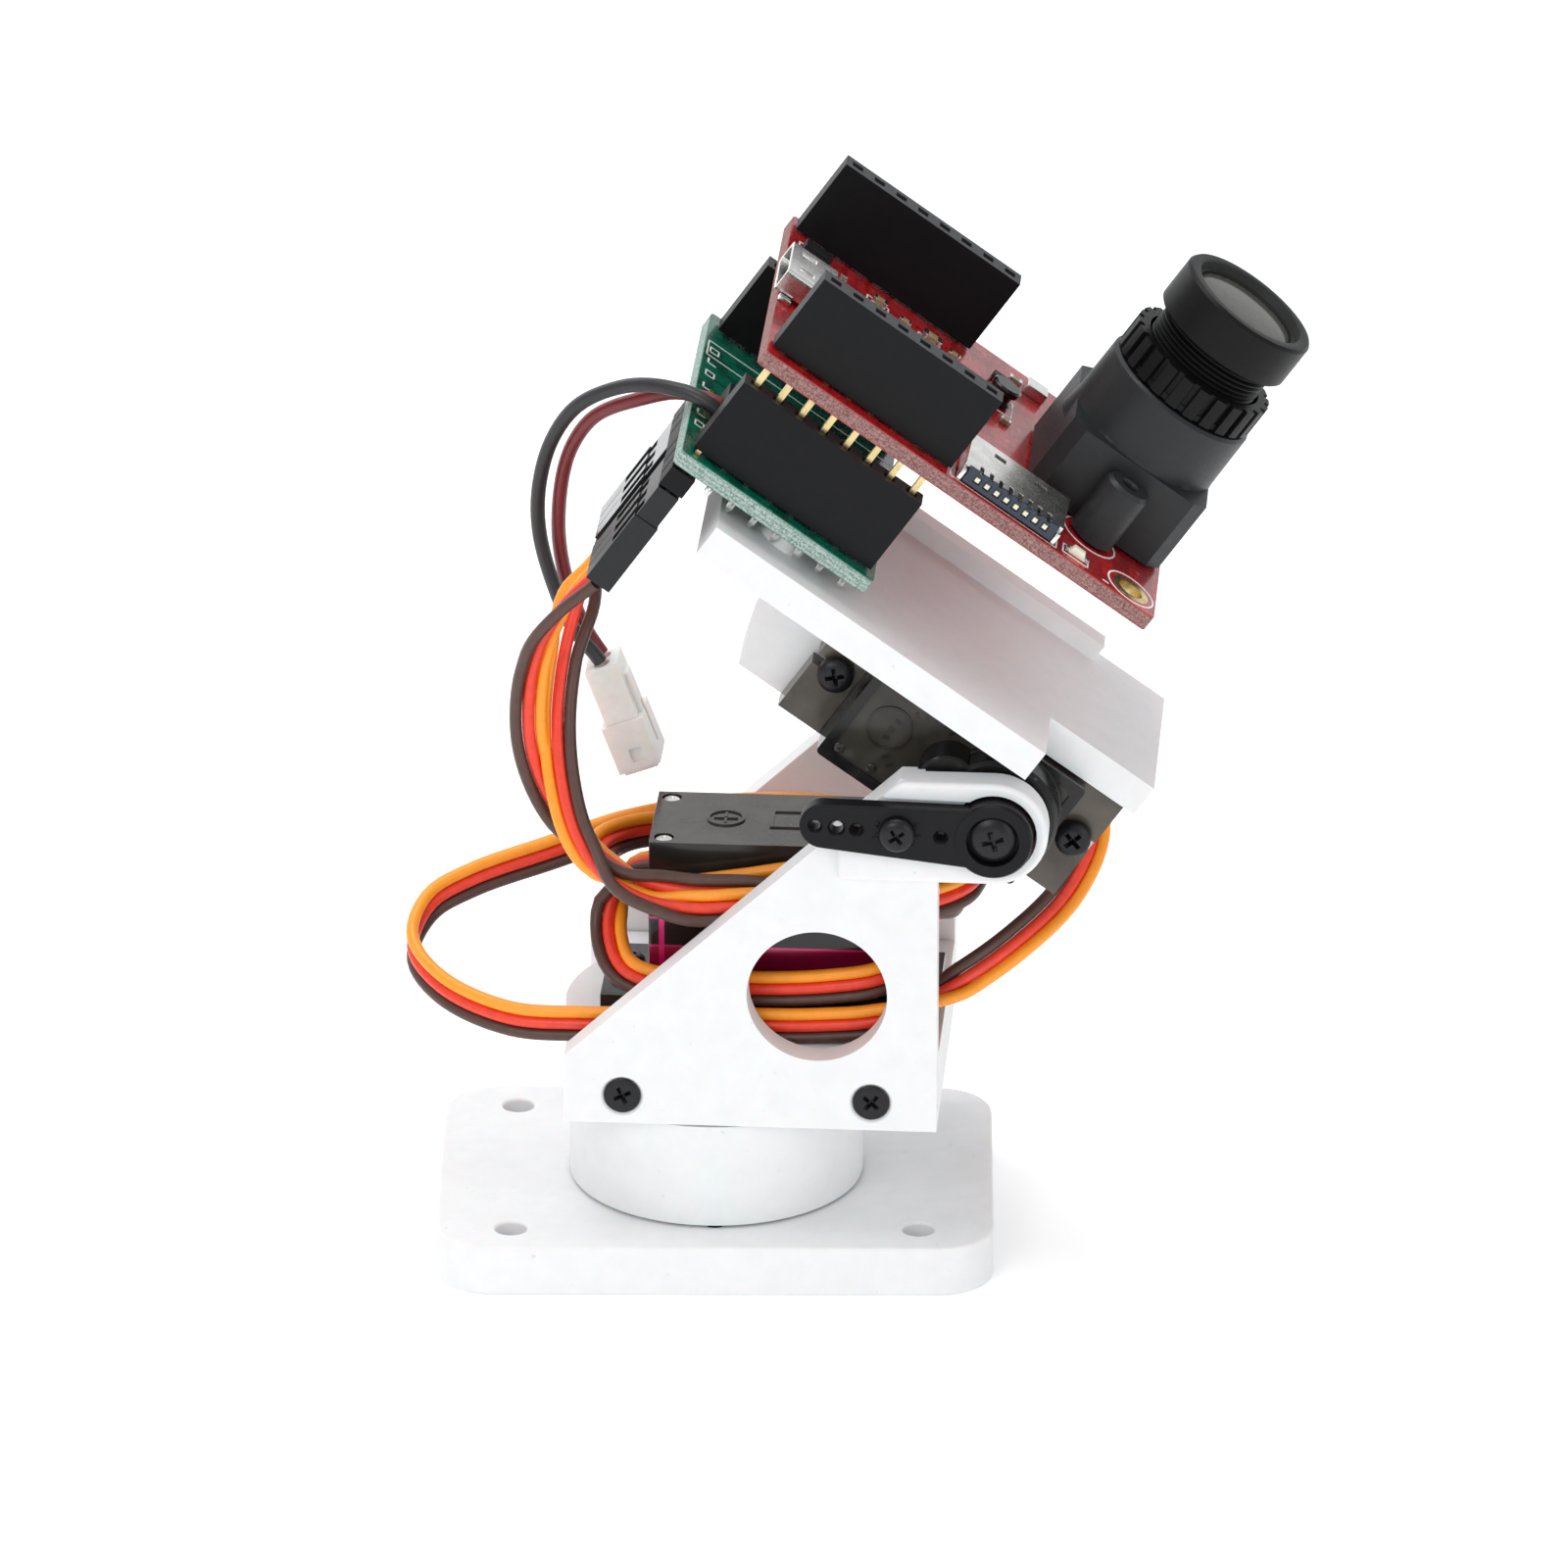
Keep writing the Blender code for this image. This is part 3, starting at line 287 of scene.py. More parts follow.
def smoked(name, colour, lighter):
    """Smoky moulded plastic, paler in patches where the light comes through."""
    made = Finish(name, colour, 0.16, spread=0.2, grain=0.35, bump=0.06, bump_grain=0.9, rough_spread=0.06,
                  Specular_IOR_Level=0.36, Coat_Weight=0.08)
    cloud = made.ramp(made.noise(0.16, 2.0), [(0.42, (0, 0, 0)), (0.72, (1, 1, 1))])
    made.recolour(made.mix(cloud, made.colour, lighter))
    return made.material


def make_finishes():
    made = {}
    white = Finish("white_print", (0.80, 0.805, 0.81), 0.55, spread=0.02, grain=0.5, bump=0.22,
                   bump_grain=2.6,
                   bump_mm=0.03, Subsurface_Weight=0.25, Subsurface_Scale=0.0015)
    speck = white.ramp(white.noise(1.1, 6.0), [(0.70, (0, 0, 0)), (0.76, (1, 1, 1))])
    white.recolour(white.mix(speck, white.colour, (0.68, 0.69, 0.70)))
    made["white"] = white.material
    for name, colour, lighter in (
        ("", (0.016, 0.0145, 0.013), (0.03, 0.028, 0.024)),
        ("_face", (0.05, 0.045, 0.039), (0.085, 0.076, 0.064)),
        ("_deep", (0.03, 0.027, 0.022), (0.05, 0.045, 0.037)),
        # Painted light: the smoked cases' bevelled edges are paler, as light coming through the plastic at
        # its corners.
        ("_edge", (0.10, 0.098, 0.088), (0.17, 0.165, 0.15)),
        # Painted light: paler smoke for the tilt servo's ears, as light coming through them from behind; the
        # pan servo's ears keep the plain smoke.
        ("_ear", (0.075, 0.064, 0.05), (0.15, 0.13, 0.105)),
        # Painted light: the tilt servo's ear edges paler still, as more light coming through.
        ("_ear_edge", (0.15, 0.135, 0.11), (0.22, 0.2, 0.17)),
    ):
        made["smoke" + name] = smoked("smoked" + (name or "_dark"), colour, lighter)

    def plain(name, colour, roughness, shine=0.5, **more):
        made[name] = Finish(name, colour, roughness, Specular_IOR_Level=shine, **more).material

    plain("horn", (0.0045, 0.0045, 0.0055), 0.42, 0.2, bump_grain=2.2, bump=0.2)
    plain("boss", (0.006, 0.006, 0.006), 0.2, 0.4)
    plain("screw", (0.011, 0.011, 0.013), 0.32, 0.4, metallic=0.3, bump_grain=3.0, bump=0.25)
    plain("header", (0.005, 0.0052, 0.006), 0.45, 0.18, bump_grain=3.2, bump=0.25)
    # The header's top faces: its black painted paler, a painted sheen from the light above.
    plain("header_lit_top", (0.028, 0.029, 0.032), 0.5, 0.35, bump_grain=3.0, bump=0.3)
    plain("plug", (0.01, 0.0105, 0.012), 0.33, 0.35, bump_grain=2.0, bump=0.15)
    # A paler, glossier copy of the plug black for the pan plug's faces towards the lights: a painted
    # reflection.
    plain("plug_sheen", (0.075, 0.08, 0.088), 0.2, spread=0.2, Coat_Weight=0.3)
    plain("lens", (0.012, 0.013, 0.0145), 0.46, 0.4, bump_grain=1.7, bump=0.45, rough_spread=0.14)
    plain("lens_head", (0.004, 0.004, 0.0045), 0.42, 0.18, bump_grain=5.0, bump=0.3)
    plain("lens_inner", (0.004, 0.004, 0.004), 0.6)
    plain("chip", (0.008, 0.008, 0.009), 0.5, 0.3, bump_grain=5.0, bump=0.4)
    plain("steel", (0.76, 0.75, 0.72), 0.27, metallic=1.0, grain=0.6, spread=0.12)
    plain("tinned", (0.72, 0.72, 0.7), 0.24, metallic=1.0, bump_grain=1.8, bump=0.5)
    plain("gold", (0.70, 0.56, 0.28), 0.28, metallic=1.0, spread=0.15)
    plain("brass", (0.78, 0.58, 0.24), 0.3, metallic=1.0)
    plain("gear", (0.8, 0.79, 0.74), 0.45, Subsurface_Weight=0.2, Subsurface_Scale=0.001)
    plain("silk", (0.82, 0.82, 0.8), 0.6, spread=0.1, grain=3.0)
    plain("insulator", (0.02, 0.03, 0.05), 0.4)
    plain("contact", (0.75, 0.72, 0.55), 0.3, metallic=0.6)
    plain("ceramic", (0.30, 0.22, 0.12), 0.45, spread=0.2, grain=2.0)
    plain("led", (0.82, 0.8, 0.66), 0.25, Coat_Weight=0.5)
    plain("glass", (0.06, 0.06, 0.05), 0.12, 0.25, rough_spread=0.02, bump=0.0)
    plain("nylon", (0.83, 0.82, 0.79), 0.42, Subsurface_Weight=0.5, Subsurface_Scale=0.002, spread=0.03)
    for name, colour, roughness, spread in (
        ("orange", (1.0, 0.33, 0.016), 0.36, 0.05),
        ("red", (0.82, 0.05, 0.022), 0.36, 0.08),
        ("brown", (0.08, 0.035, 0.026), 0.4, 0.12),
        ("black_wire", (0.02, 0.02, 0.022), 0.4, 0.12),
        ("dark_red", (0.20, 0.018, 0.022), 0.36, 0.1),
    ):
        plain(name, colour, roughness, spread=spread, bump_grain=1.2, bump=0.2)
    made["red_mask"] = board_mask("red_mask", (0.40, 0.012, 0.014), (0.27, 0.008, 0.010), (0.62, 0.1, 0.08))
    made["green_mask"] = board_mask("green_mask", (0.002, 0.125, 0.075), (0.002, 0.075, 0.045),
                                    (0.1, 0.3, 0.2))
    made["red_edge"] = board_edge("red_edge", TILT, CAMERA_LOW, (0.30, 0.19, 0.175), (0.36, 0.03, 0.03),
                                  (0.14, 0.065, 0.058))
    made["green_edge"] = board_edge("green_edge", TILT, SHIELD_LOW, (0.42, 0.49, 0.46), (0.03, 0.17, 0.11),
                                    (0.16, 0.26, 0.22))
    made["pan_label"] = label_foil("pan_label", PAN_SERVO)
    made["tilt_label"] = label_foil("tilt_label", TILT_SERVO)
    return made


# The slot for each finish that comes first on a piece.
SLOTS = {
    finish: slot
    for slot, finishes in (
        ("white_print", "white"), ("smoked_case", "smoke smoke_face pan_label tilt_label"),
        ("steel", "steel tinned"),
        ("black_plastic", "chip horn boss insulator plug lens lens_head header"), ("black_steel", "screw"),
        ("white_nylon", "silk led nylon"), ("brass", "ceramic gold contact"), ("red_board", "red_mask"),
        ("green_board", "green_mask"),
    )
    for finish in finishes.split()
}


# Outlines, as lists of points


def arc(x, y, radius, start, end, steps):
    turns = [math.radians(start + (end - start) * i / steps) for i in range(steps + 1)]
    return [(x + radius * math.cos(angle), y + radius * math.sin(angle)) for angle in turns]


def circle(x, y, radius, steps):
    return arc(x, y, radius, 0, 360, steps)[:-1]


def rectangle(left, near, right, far):
    return [(left, near), (right, near), (right, far), (left, far)]


def around(x, y, half_long, half_wide):
    return rectangle(x - half_long, y - half_wide, x + half_long, y + half_wide)


def rounded_rectangle(left, near, right, far, radius, steps=8):
    corners = ((right, far, 0), (left, far, 90), (left, near, 180), (right, near, 270))
    outline = []
    for x, y, start in corners:
        inwards_x = x - math.copysign(radius, x - (left + right) / 2)
        inwards_y = y - math.copysign(radius, y - (near + far) / 2)
        outline += arc(inwards_x, inwards_y, radius, start, start + 90, steps)
    return outline


# Shapes, as bmeshes in millimetres


def prism(outline, low, high, plane="XY", shrink=1.0):
    """The outline extruded from low to high; shrink scales it about its middle at low."""
    in_space = {
        "XY": lambda a, b, h: (a, b, h),
        "XZ": lambda a, b, h: (a, h, b),
        "YZ": lambda a, b, h: (h, a, b),
    }[plane]
    middle_a = sum(a for a, _ in outline) / len(outline)
    middle_b = sum(b for _, b in outline) / len(outline)
    shape = bmesh.new()
    rings = []
    for height, size in ((low, shrink), (high, 1.0)):
        ring = [(middle_a + (a - middle_a) * size, middle_b + (b - middle_b) * size) for a, b in outline]
        rings.append([shape.verts.new(in_space(a, b, height)) for a, b in ring])
    shape.faces.new(rings[0])
    shape.faces.new(rings[1])
    for i in range(len(outline)):
        shape.faces.new((rings[0][i - 1], rings[0][i], rings[1][i], rings[1][i - 1]))
    bmesh.ops.recalc_face_normals(shape, faces=shape.faces)
    return shape


def box(low, high):
    return prism(rectangle(low[0], low[1], high[0], high[1]), low[2], high[2])


def block(x, y, half_long, half_wide, low, high):
    return prism(around(x, y, half_long, half_wide), low, high)


def turned(profile, steps=64):
    """The profile, a closed loop of (radius, height) points, spun about the Z axis."""
    shape = bmesh.new()
    points = [shape.verts.new((r, 0, h)) for r, h in profile]
    edges = [shape.edges.new((points[i - 1], points[i])) for i in range(len(points))]
    bmesh.ops.spin(shape, geom=points + edges, use_merge=True, cent=(0, 0, 0), axis=(0, 0, 1),
                   angle=2 * math.pi, steps=steps)
    bmesh.ops.remove_doubles(shape, verts=shape.verts, dist=0.0005)
    on_axis = [e for e in shape.edges if all(math.hypot(v.co.x, v.co.y) < 0.0005 for v in e.verts)]
    bmesh.ops.delete(shape, geom=on_axis, context="EDGES")
    bmesh.ops.recalc_face_normals(shape, faces=shape.faces)
    return shape


def cylinder(x, y, radius, low, high, steps=48, plane="XY"):
    return prism(circle(x, y, radius, steps), low, high, plane)


def moved(shape, matrix):
    shape.transform(matrix)
    if matrix.determinant() < 0:
        bmesh.ops.reverse_faces(shape, faces=shape.faces)
    return shape


def together(*shapes):
    """One bmesh of several solids that stand apart."""
    whole = bmesh.new()
    for shape in shapes:
        part = bpy.data.meshes.new("part")
        shape.to_mesh(part)
        shape.free()
        whole.from_mesh(part)
        bpy.data.meshes.remove(part)
    return whole


# Objects


def work_object(shape):
    mesh = bpy.data.meshes.new("work")
    shape.to_mesh(mesh)
    shape.free()
    return added("work", mesh)


def shaped(shape, add=(), cut=(), bevel=0.0, segments=2, edge=False, limit=38):
    """The shape with the others joined to it or cut from it, its edges rounded, as a mesh."""
    host = work_object(shape)
    if edge:
        host.data.materials.append(None)
        host.data.materials.append(None)
    helpers = []
    for operation, others in (("UNION", add), ("DIFFERENCE", cut)):
        for other in others:
            helper = work_object(other)
            helpers.append(helper)
            modifier = host.modifiers.new(operation, "BOOLEAN")
            modifier.operation = operation
            modifier.object = helper
    if bevel:
        modifier = host.modifiers.new("round", "BEVEL")
        modifier.width, modifier.segments = bevel, segments
        modifier.limit_method, modifier.angle_limit = "ANGLE", math.radians(limit)
        # The bevel's faces take the second finish; on the smoked cases that is paler smoke, painted light at
        # the edges.
        if edge:
            modifier.material = 1
    mesh = bpy.data.meshes.new_from_object(host.evaluated_get(bpy.context.evaluated_depsgraph_get()))
    for item in (host, *helpers):
        bpy.data.objects.remove(item, do_unlink=True)
    return mesh


def as_shape(mesh):
    made = bmesh.new()
    made.from_mesh(mesh)
    bpy.data.meshes.remove(mesh)
    return made


def rounded(shape, width, segments=3):
    """The shape with its edges rounded, as a bmesh to join to another."""
    return as_shape(shaped(shape, bevel=width, segments=segments))


def as_piece(name, mesh, mount, finishes, replaces=(), choose=None, smooth=32, slot=None):
    """A mesh in a local frame becomes an object in the row frame that rides on a body."""
    place, body = mount
    mesh.name = name
    kept = [face.material_index for face in mesh.polygons]
    mesh.materials.clear()
    names = (finishes,) if isinstance(finishes, str) else finishes
    for finish in names:
        mesh.materials.append(FINISHES[finish])
    if choose:
        kept = [choose(face.center, face.normal, index) for face, index in zip(mesh.polygons, kept)]
    mesh.polygons.foreach_set("material_index", kept)
    mesh.transform(TO_METRES @ place)
    mesh.polygons.foreach_set("use_smooth", [True] * len(mesh.polygons))
    mesh.set_sharp_from_angle(angle=math.radians(smooth))
    item = added(name, mesh)
    item.modifiers.new("flat faces", "WEIGHTED_NORMAL").keep_sharp = True
    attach(item, body)
    slot = slot or SLOTS.get(names[0])
    if replaces:
        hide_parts(*replaces)
    return item


def piece(name, shape, mount, finishes, replaces=(), choose=None, smooth=32, slot=None, **shaping):
    return as_piece(name, shaped(shape, **shaping), mount, finishes, replaces, choose, smooth, slot)


# Leads

PAN_LEAD_ROUTE = (  # bracket frame
    (-5.4, 0.0, 37.0), (-7.9, 0.1, 36.2), (-9.7, -0.8, 33.6), (-10.0, -3.2, 30.6), (-8.4, -6.4, 28.4),
    (-4.6, -8.2, 27.7), (4.0, -8.4, 27.6), (11.0, -8.4, 28.0), (16.4, -8.0, 28.9), (19.6, -5.4, 30.1),
    (20.4, -0.8, 31.2), (19.8, 4.4, 32.4), (16.6, 7.8, 33.8), (8.0, 8.6, 35.2), (-1.0, 8.6, 36.4),
    (-7.0, 7.2, 37.0), (-10.6, 3.4, 37.2), (-11.0, -1.4, 37.0), (-8.8, -5.2, 36.6), (-4.0, -7.1, 36.7),
    (2.6, -7.2, 37.6), (9.0, -7.2, 38.7), (15.0, -7.5, 38.9), (18.9, -6.6, 38.8), (20.2, -2.0, 38.7),
    (19.9, 4.2, 38.6), (20.0, 7.4, 38.5), (21.2, 9.8, 38.4), (23.4, 10.2, 38.3), (25.2, 8.4, 38.2),
    (25.8, 4.6, 38.1), (25.6, -1.2, 37.9), (24.2, -6.0, 37.6), (20.4, -9.4, 37.4), (15.0, -10.3, 37.3),
    (9.0, -10.3, 37.3), (4.0, -10.3, 37.0), (-1.6, -10.5, 36.7), (-6.0, -10.5, 37.4), (-9.8, -10.1, 39.6),
    (-12.4, -9.2, 43.2), (-13.9, -7.8, 48.0), (-14.5, -6.0, 53.6), (-14.0, -3.8, 59.4), (-12.5, -1.4, 65.2),
    (-10.2, 0.0, 70.4),
)
TILT_LEAD_ROUTE = (  # bracket frame
    (31.6, 10.7, 44.1), (34.4, 10.2, 42.2), (35.6, 7.6, 38.2), (33.6, 2.4, 34.2), (28.6, -4.0, 31.0),
    (22.0, -8.2, 27.6), (17.0, -9.6, 25.4), (10.4, -9.8, 24.6), (3.0, -9.8, 24.4), (-5.0, -9.8, 24.3),
    (-12.0, -9.4, 23.9), (-19.1, -8.0, 23.6), (-26.0, -4.0, 24.8), (-29.2, 1.0, 26.8), (-27.8, 5.0, 29.5),
    (-24.0, 7.2, 31.2), (-16.7, 9.4, 33.3), (-9.2, 11.0, 35.6), (0.0, 11.6, 37.2), (10.0, 11.6, 37.4),
    (17.4, 10.0, 36.6), (21.3, 5.6, 35.4), (22.2, -0.6, 34.2), (20.4, -6.2, 34.0), (16.0, -8.5, 35.2),
    (10.2, -8.8, 36.8), (4.0, -8.8, 37.7), (-2.4, -8.8, 37.8), (-7.2, -8.2, 38.8), (-11.6, -7.2, 41.6),
    (-15.0, -6.6, 45.6), (-16.9, -6.8, 51.0), (-17.0, -7.6, 57.0), (-15.8, -8.7, 62.6), (-13.2, -9.5, 67.2),
    (-10.2, -9.75, 70.4),
)
POWER_LEAD_ROUTE = (  # platform frame
    (-40.6, -2.6, 14.8), (-44.8, -2.2, 14.6), (-47.8, -1.0, 13.0), (-50.6, 1.2, 9.2), (-52.2, 3.4, 4.8),
    (-51.9, 5.2, 0.2), (-50.2, 6.6, -4.4), (-47.2, 8.0, -9.1), (-43.0, 9.1, -13.3), (-39.2, 9.8, -16.0),
    (-35.45, 10.0, -17.45),
)
# How a ribbon lies: at a place along the route, the way from its brown wire to its orange one.
PAN_LEAD_LIES = (
    (0, (0, 1, 0)), (1.5, (0.3, 1, 0.1)), (3, (1, 0, 0.3)), (5, (0, 0, 1)), (15, (0, 0, 1)),
    (17, (-1, 0, 0.1)), (19, (0, 0, 1)), (35, (0, 0, 1)), (36.6, (0, 0.5, 1)), (38, (0, 1, 0)),
    (40, (-1, 0.3, 0)), (43, (-1, 0, 0)), (45, (0, -1, 0)),
)
TILT_LEAD_LIES = (
    (0, (0.58, 0, 0.81)), (1.2, (0.8, 0, -0.6)), (4.4, (0.8, 0, -0.6)), (5.3, (0, -1, 0)), (6.2, (0, 0, 1)),
    (21, (0, 0, 1)), (22, (-1, 0, 0.2)), (23.4, (-0.2, 0, -1)), (27, (0, 0, -1)), (28.6, (0, 1, -0.1)),
    (30, (1, 0.2, 0)), (31, (1, 0.1, 0)), (35, (0, 1, 0)),
)
POWER_LEAD_LIES = (
    (0, (0, 1, 0.1)), (1.6, (0.3, 1, -0.4)), (3, (1, 0.4, -0.3)), (6, (1, 0.5, 0.2)), (8.4, (0.3, 1, 0.3)),
    (10, (0, 1, 0)),
)
WIRE, POWER_WIRE, PITCH, SPACING, SIDES = 1.2, 1.4, 2.54, 0.9, 12


def catmull_rom(p0, p1, p2, p3, knots, t):
    def between(a, b, low, high):
        return [((high - t) * u + (t - low) * v) / (high - low) for u, v in zip(a, b)]

    k0, k1, k2, k3 = knots
    first, middle, last = between(p0, p1, k0, k1), between(p1, p2, k1, k2), between(p2, p3, k2, k3)
    return between(between(first, middle, k0, k2), between(middle, last, k1, k3), k1, k2)


def smooth(route, spacing):
    """(place along the route, point) on a centripetal Catmull-Rom curve through the route."""
    before = [2 * a - b for a, b in zip(route[0], route[1])]
    after = [2 * a - b for a, b in zip(route[-1], route[-2])]
    points = [before, *route, after]
    curve = []
    for i in range(1, len(points) - 2):
        p0, p1, p2, p3 = points[i - 1 : i + 3]
        knots = [0.0]
        for a, b in ((p0, p1), (p1, p2), (p2, p3)):
            knots.append(knots[-1] + math.sqrt(math.dist(a, b)))
        count = max(1, round(math.dist(p1, p2) / spacing))
        for step in range(count):
            t = knots[1] + (knots[2] - knots[1]) * step / count
            curve.append((i - 1 + step / count, Vector(catmull_rom(p0, p1, p2, p3, knots, t))))
    curve.append((len(route) - 1, Vector(route[-1])))
    return curve


def lying(keys, at, along):
    """The ribbon's sideways direction at a place, square to the way the lead runs."""
    low = max((key for key in keys if key[0] <= at), key=lambda key: key[0])
    high = min((key for key in keys if key[0] >= at), key=lambda key: key[0])
    share = 0 if high[0] == low[0] else (at - low[0]) / (high[0] - low[0])
    share = share * share * (3 - 2 * share)
    sideways = Vector(low[1]).normalized().lerp(Vector(high[1]).normalized(), share)
    return (sideways - along * sideways.dot(along)).normalized()


def wire_path(curve, keys, number, apart, fan):
    """The middle of one wire of a ribbon, numbered -1, 0 or 1 across it; fan is its end's spacing."""
    points = [point for _, point in curve]
    left = [0.0]
    for a, b in zip(points[::-1], points[-2::-1]):
        left.append(left[-1] + (a - b).length)
    left.reverse()
    path = []
    for i, (at, point) in enumerate(curve):
        along = (points[min(i + 1, len(points) - 1)] - points[max(i - 1, 0)]).normalized()
        spread = fan + (apart - fan) * min(1.0, left[i] / 12.0)
        path.append(point + number * spread * lying(keys, at, along))
    return path


def tube(name, path, radius, finish):
    """A round tube, in the row frame and in metres, whose ring centres are the path."""
    rings, shape = [], bmesh.new()
    side = None
    for i, point in enumerate(path):
        along = (path[min(i + 1, len(path) - 1)] - path[max(i - 1, 0)]).normalized()
        side = side if side is not None else along.orthogonal()
        side = (side - along * side.dot(along)).normalized()
        other = along.cross(side)
        angles = [2 * math.pi * k / SIDES for k in range(SIDES)]
        rings.append([shape.verts.new(point + radius * (math.cos(a) * side + math.sin(a) * other))
                      for a in angles])
    for first, second in zip(rings, rings[1:]):
        for k in range(SIDES):
            shape.faces.new((first[k - 1], first[k], second[k], second[k - 1]))
    shape.faces.new(rings[0])
    shape.faces.new(rings[-1])
    bmesh.ops.recalc_face_normals(shape, faces=shape.faces)
    mesh = bpy.data.meshes.new(name)
    shape.to_mesh(mesh)
    shape.free()
    mesh.materials.append(FINISHES[finish])
    mesh.polygons.foreach_set("use_smooth", [True] * len(mesh.polygons))
    mesh.set_sharp_from_angle(angle=math.radians(50))
    return added(name, mesh)


def path_length(path):
    return sum((a - b).length for a, b in zip(path, path[1:]))


def ease(value):
    value = min(1.0, max(0.0, value))
    return value * value * (3 - 2 * value)


def bend_with_platform(item, path, from_start, from_end):
    """Bakes the wire in place and weighs each ring, by its own length, for the platform at its ends and the
    bracket between them; the weights are not used.
    """
    tuple(path[0])
    tuple(path[-1])
    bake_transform(item)
    total, gone, weights = path_length(path), 0.0, []
    for i, point in enumerate(path):
        gone += (point - path[i - 1]).length if i else 0.0
        weight = 1 - ease((total - gone) / from_end)
        if from_start:
            weight = max(weight, 1 - ease(gone / from_start))
        weights += [weight] * SIDES


def cord(path, node):
    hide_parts(node)
    tuple(path[0])
    round(path_length(path), 4)
    [tuple(p) for p in path]


def servo_lead(node, route, keys, tail):
    """Three wires side by side from a servo to its plug."""
    curve = smooth(route, SPACING)
    for number, colour in ((-1, "brown"), (0, "red"), (1, "orange")):
        path = [TO_METRES @ PAN @ point for point in wire_path(curve, keys, number, WIRE, PITCH)]
        item = tube(f"{node}_{colour}_wire", path, WIRE / 2 * MM, colour)
        bend_with_platform(item, path, tail, 0.045)
        cord(path, node)


def power_lead(plug):
    curve = smooth(POWER_LEAD_ROUTE, SPACING)
    for number, colour, name in ((-0.5, "black_wire", "power_black_wire"),
                                 (0.5, "dark_red", "power_red_wire")):
        path = [TO_METRES @ TILT @ point for point in wire_path(curve, POWER_LEAD_LIES, number, 2.2, 2.0)]
        item = tube(name, path, POWER_WIRE / 2 * MM, colour)
        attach(item, "platform")
        cord(path, "power_lead")


# Screws


def cross(size, arm, low, high):
    """A Phillips recess, narrowing downwards."""
    outline = [
        (size, -arm), (size, arm), (arm, arm), (arm, size), (-arm, size), (-arm, arm), (-size, arm),
        (-size, -arm),
        (-arm, -arm), (-arm, -size), (arm, -size), (arm, -arm),
    ]
    return prism(outline, low, high, shrink=0.45)


def threads(radius, low, high, pitch=0.55):
    """The outline of a threaded shank, from its point up to high."""
    count = int((high - low - 1.2) / pitch)
    points = []
    for number in range(count):
        level = high - 0.2 - pitch * number
        points += [(radius * 0.78, level), (radius, level - pitch / 2)]
    return [*points, (radius * 0.6, low + 0.8), (0, low)]


def screw(name, mount, node, head_r, head_height, shank_r, length, countersunk=False, turned_by=20.0,
          finish="screw"):
    if countersunk:
        head = [(0, 0), (head_r * 0.9, 0), (head_r, -0.08), (head_r, -0.16), (shank_r, -head_height)]
    else:
        head = [
            (0, 0), (head_r * 0.55, -0.04), (head_r * 0.82, -0.18), (head_r * 0.96, -0.42),
            (head_r, -head_height * 0.65), (head_r, -head_height), (shank_r, -head_height),
        ]
    shape = turned([*head, *threads(shank_r, -length, -head_height)], 32)
    slot_cut = moved(cross(head_r * 0.62, head_r * 0.14, -head_height * 0.75, 0.3), turn("Z", turned_by))
    mesh = shaped(shape, cut=[slot_cut], bevel=0.05, segments=2, limit=50)
    return as_piece(name, mesh, mount, finish, (node,))


# Base


def base():
    holes = [cylinder(x, y, 1.5, -1, 6, 32) for x in (-19.4, 19.4) for y in (-14.0, 14.0)]
    for side in (-12.55, 12.55):
        hole = turned([(0, -1), (2.9, -1), (1.1, 1.9), (1.1, 6), (0, 6)], 32)
        holes.append(moved(hole, shift(0, side, 0)))
    piece("base_plate_body", prism(rounded_rectangle(-26.6, -18.5, 26.6, 18.5, 5.5, 14), 0, 5), ON_BASE,
          "white", ("base_plate",), cut=[together(*holes)], bevel=0.32, segments=3)
    profile = [
        (4.05, 11.5), (11, 11.5), (11, 5.3), (14.1, 5.3), (14.1, 15.6), (9.26, 15.6), (9.26, 13.5),
        (4.05, 13.5),
    ]
    pilots = [cylinder(0, side, 1.1, 5, 12.5, 24) for side in (-12.55, 12.55)]
    piece("drum_body", turned(profile, 96), ON_BASE, "white", ("drum",), cut=[together(*pilots)],
          bevel=0.2)
    for number, side in ((1, -12.55), (2, 12.55)):
        screw(f"drum_screw_{number}_detail", (shift(0, side, 0.2) @ turn("X", 180), "base"),
              f"drum_screw_{number}",
              1.8, 1.2, 0.75, 11.0, countersunk=True)


# Servos

LEFT, RIGHT, HALF = -16.9, 5.9, 6.1
STAGE = 5.76
EAR_SCREWS = (-19.2, 8.5)


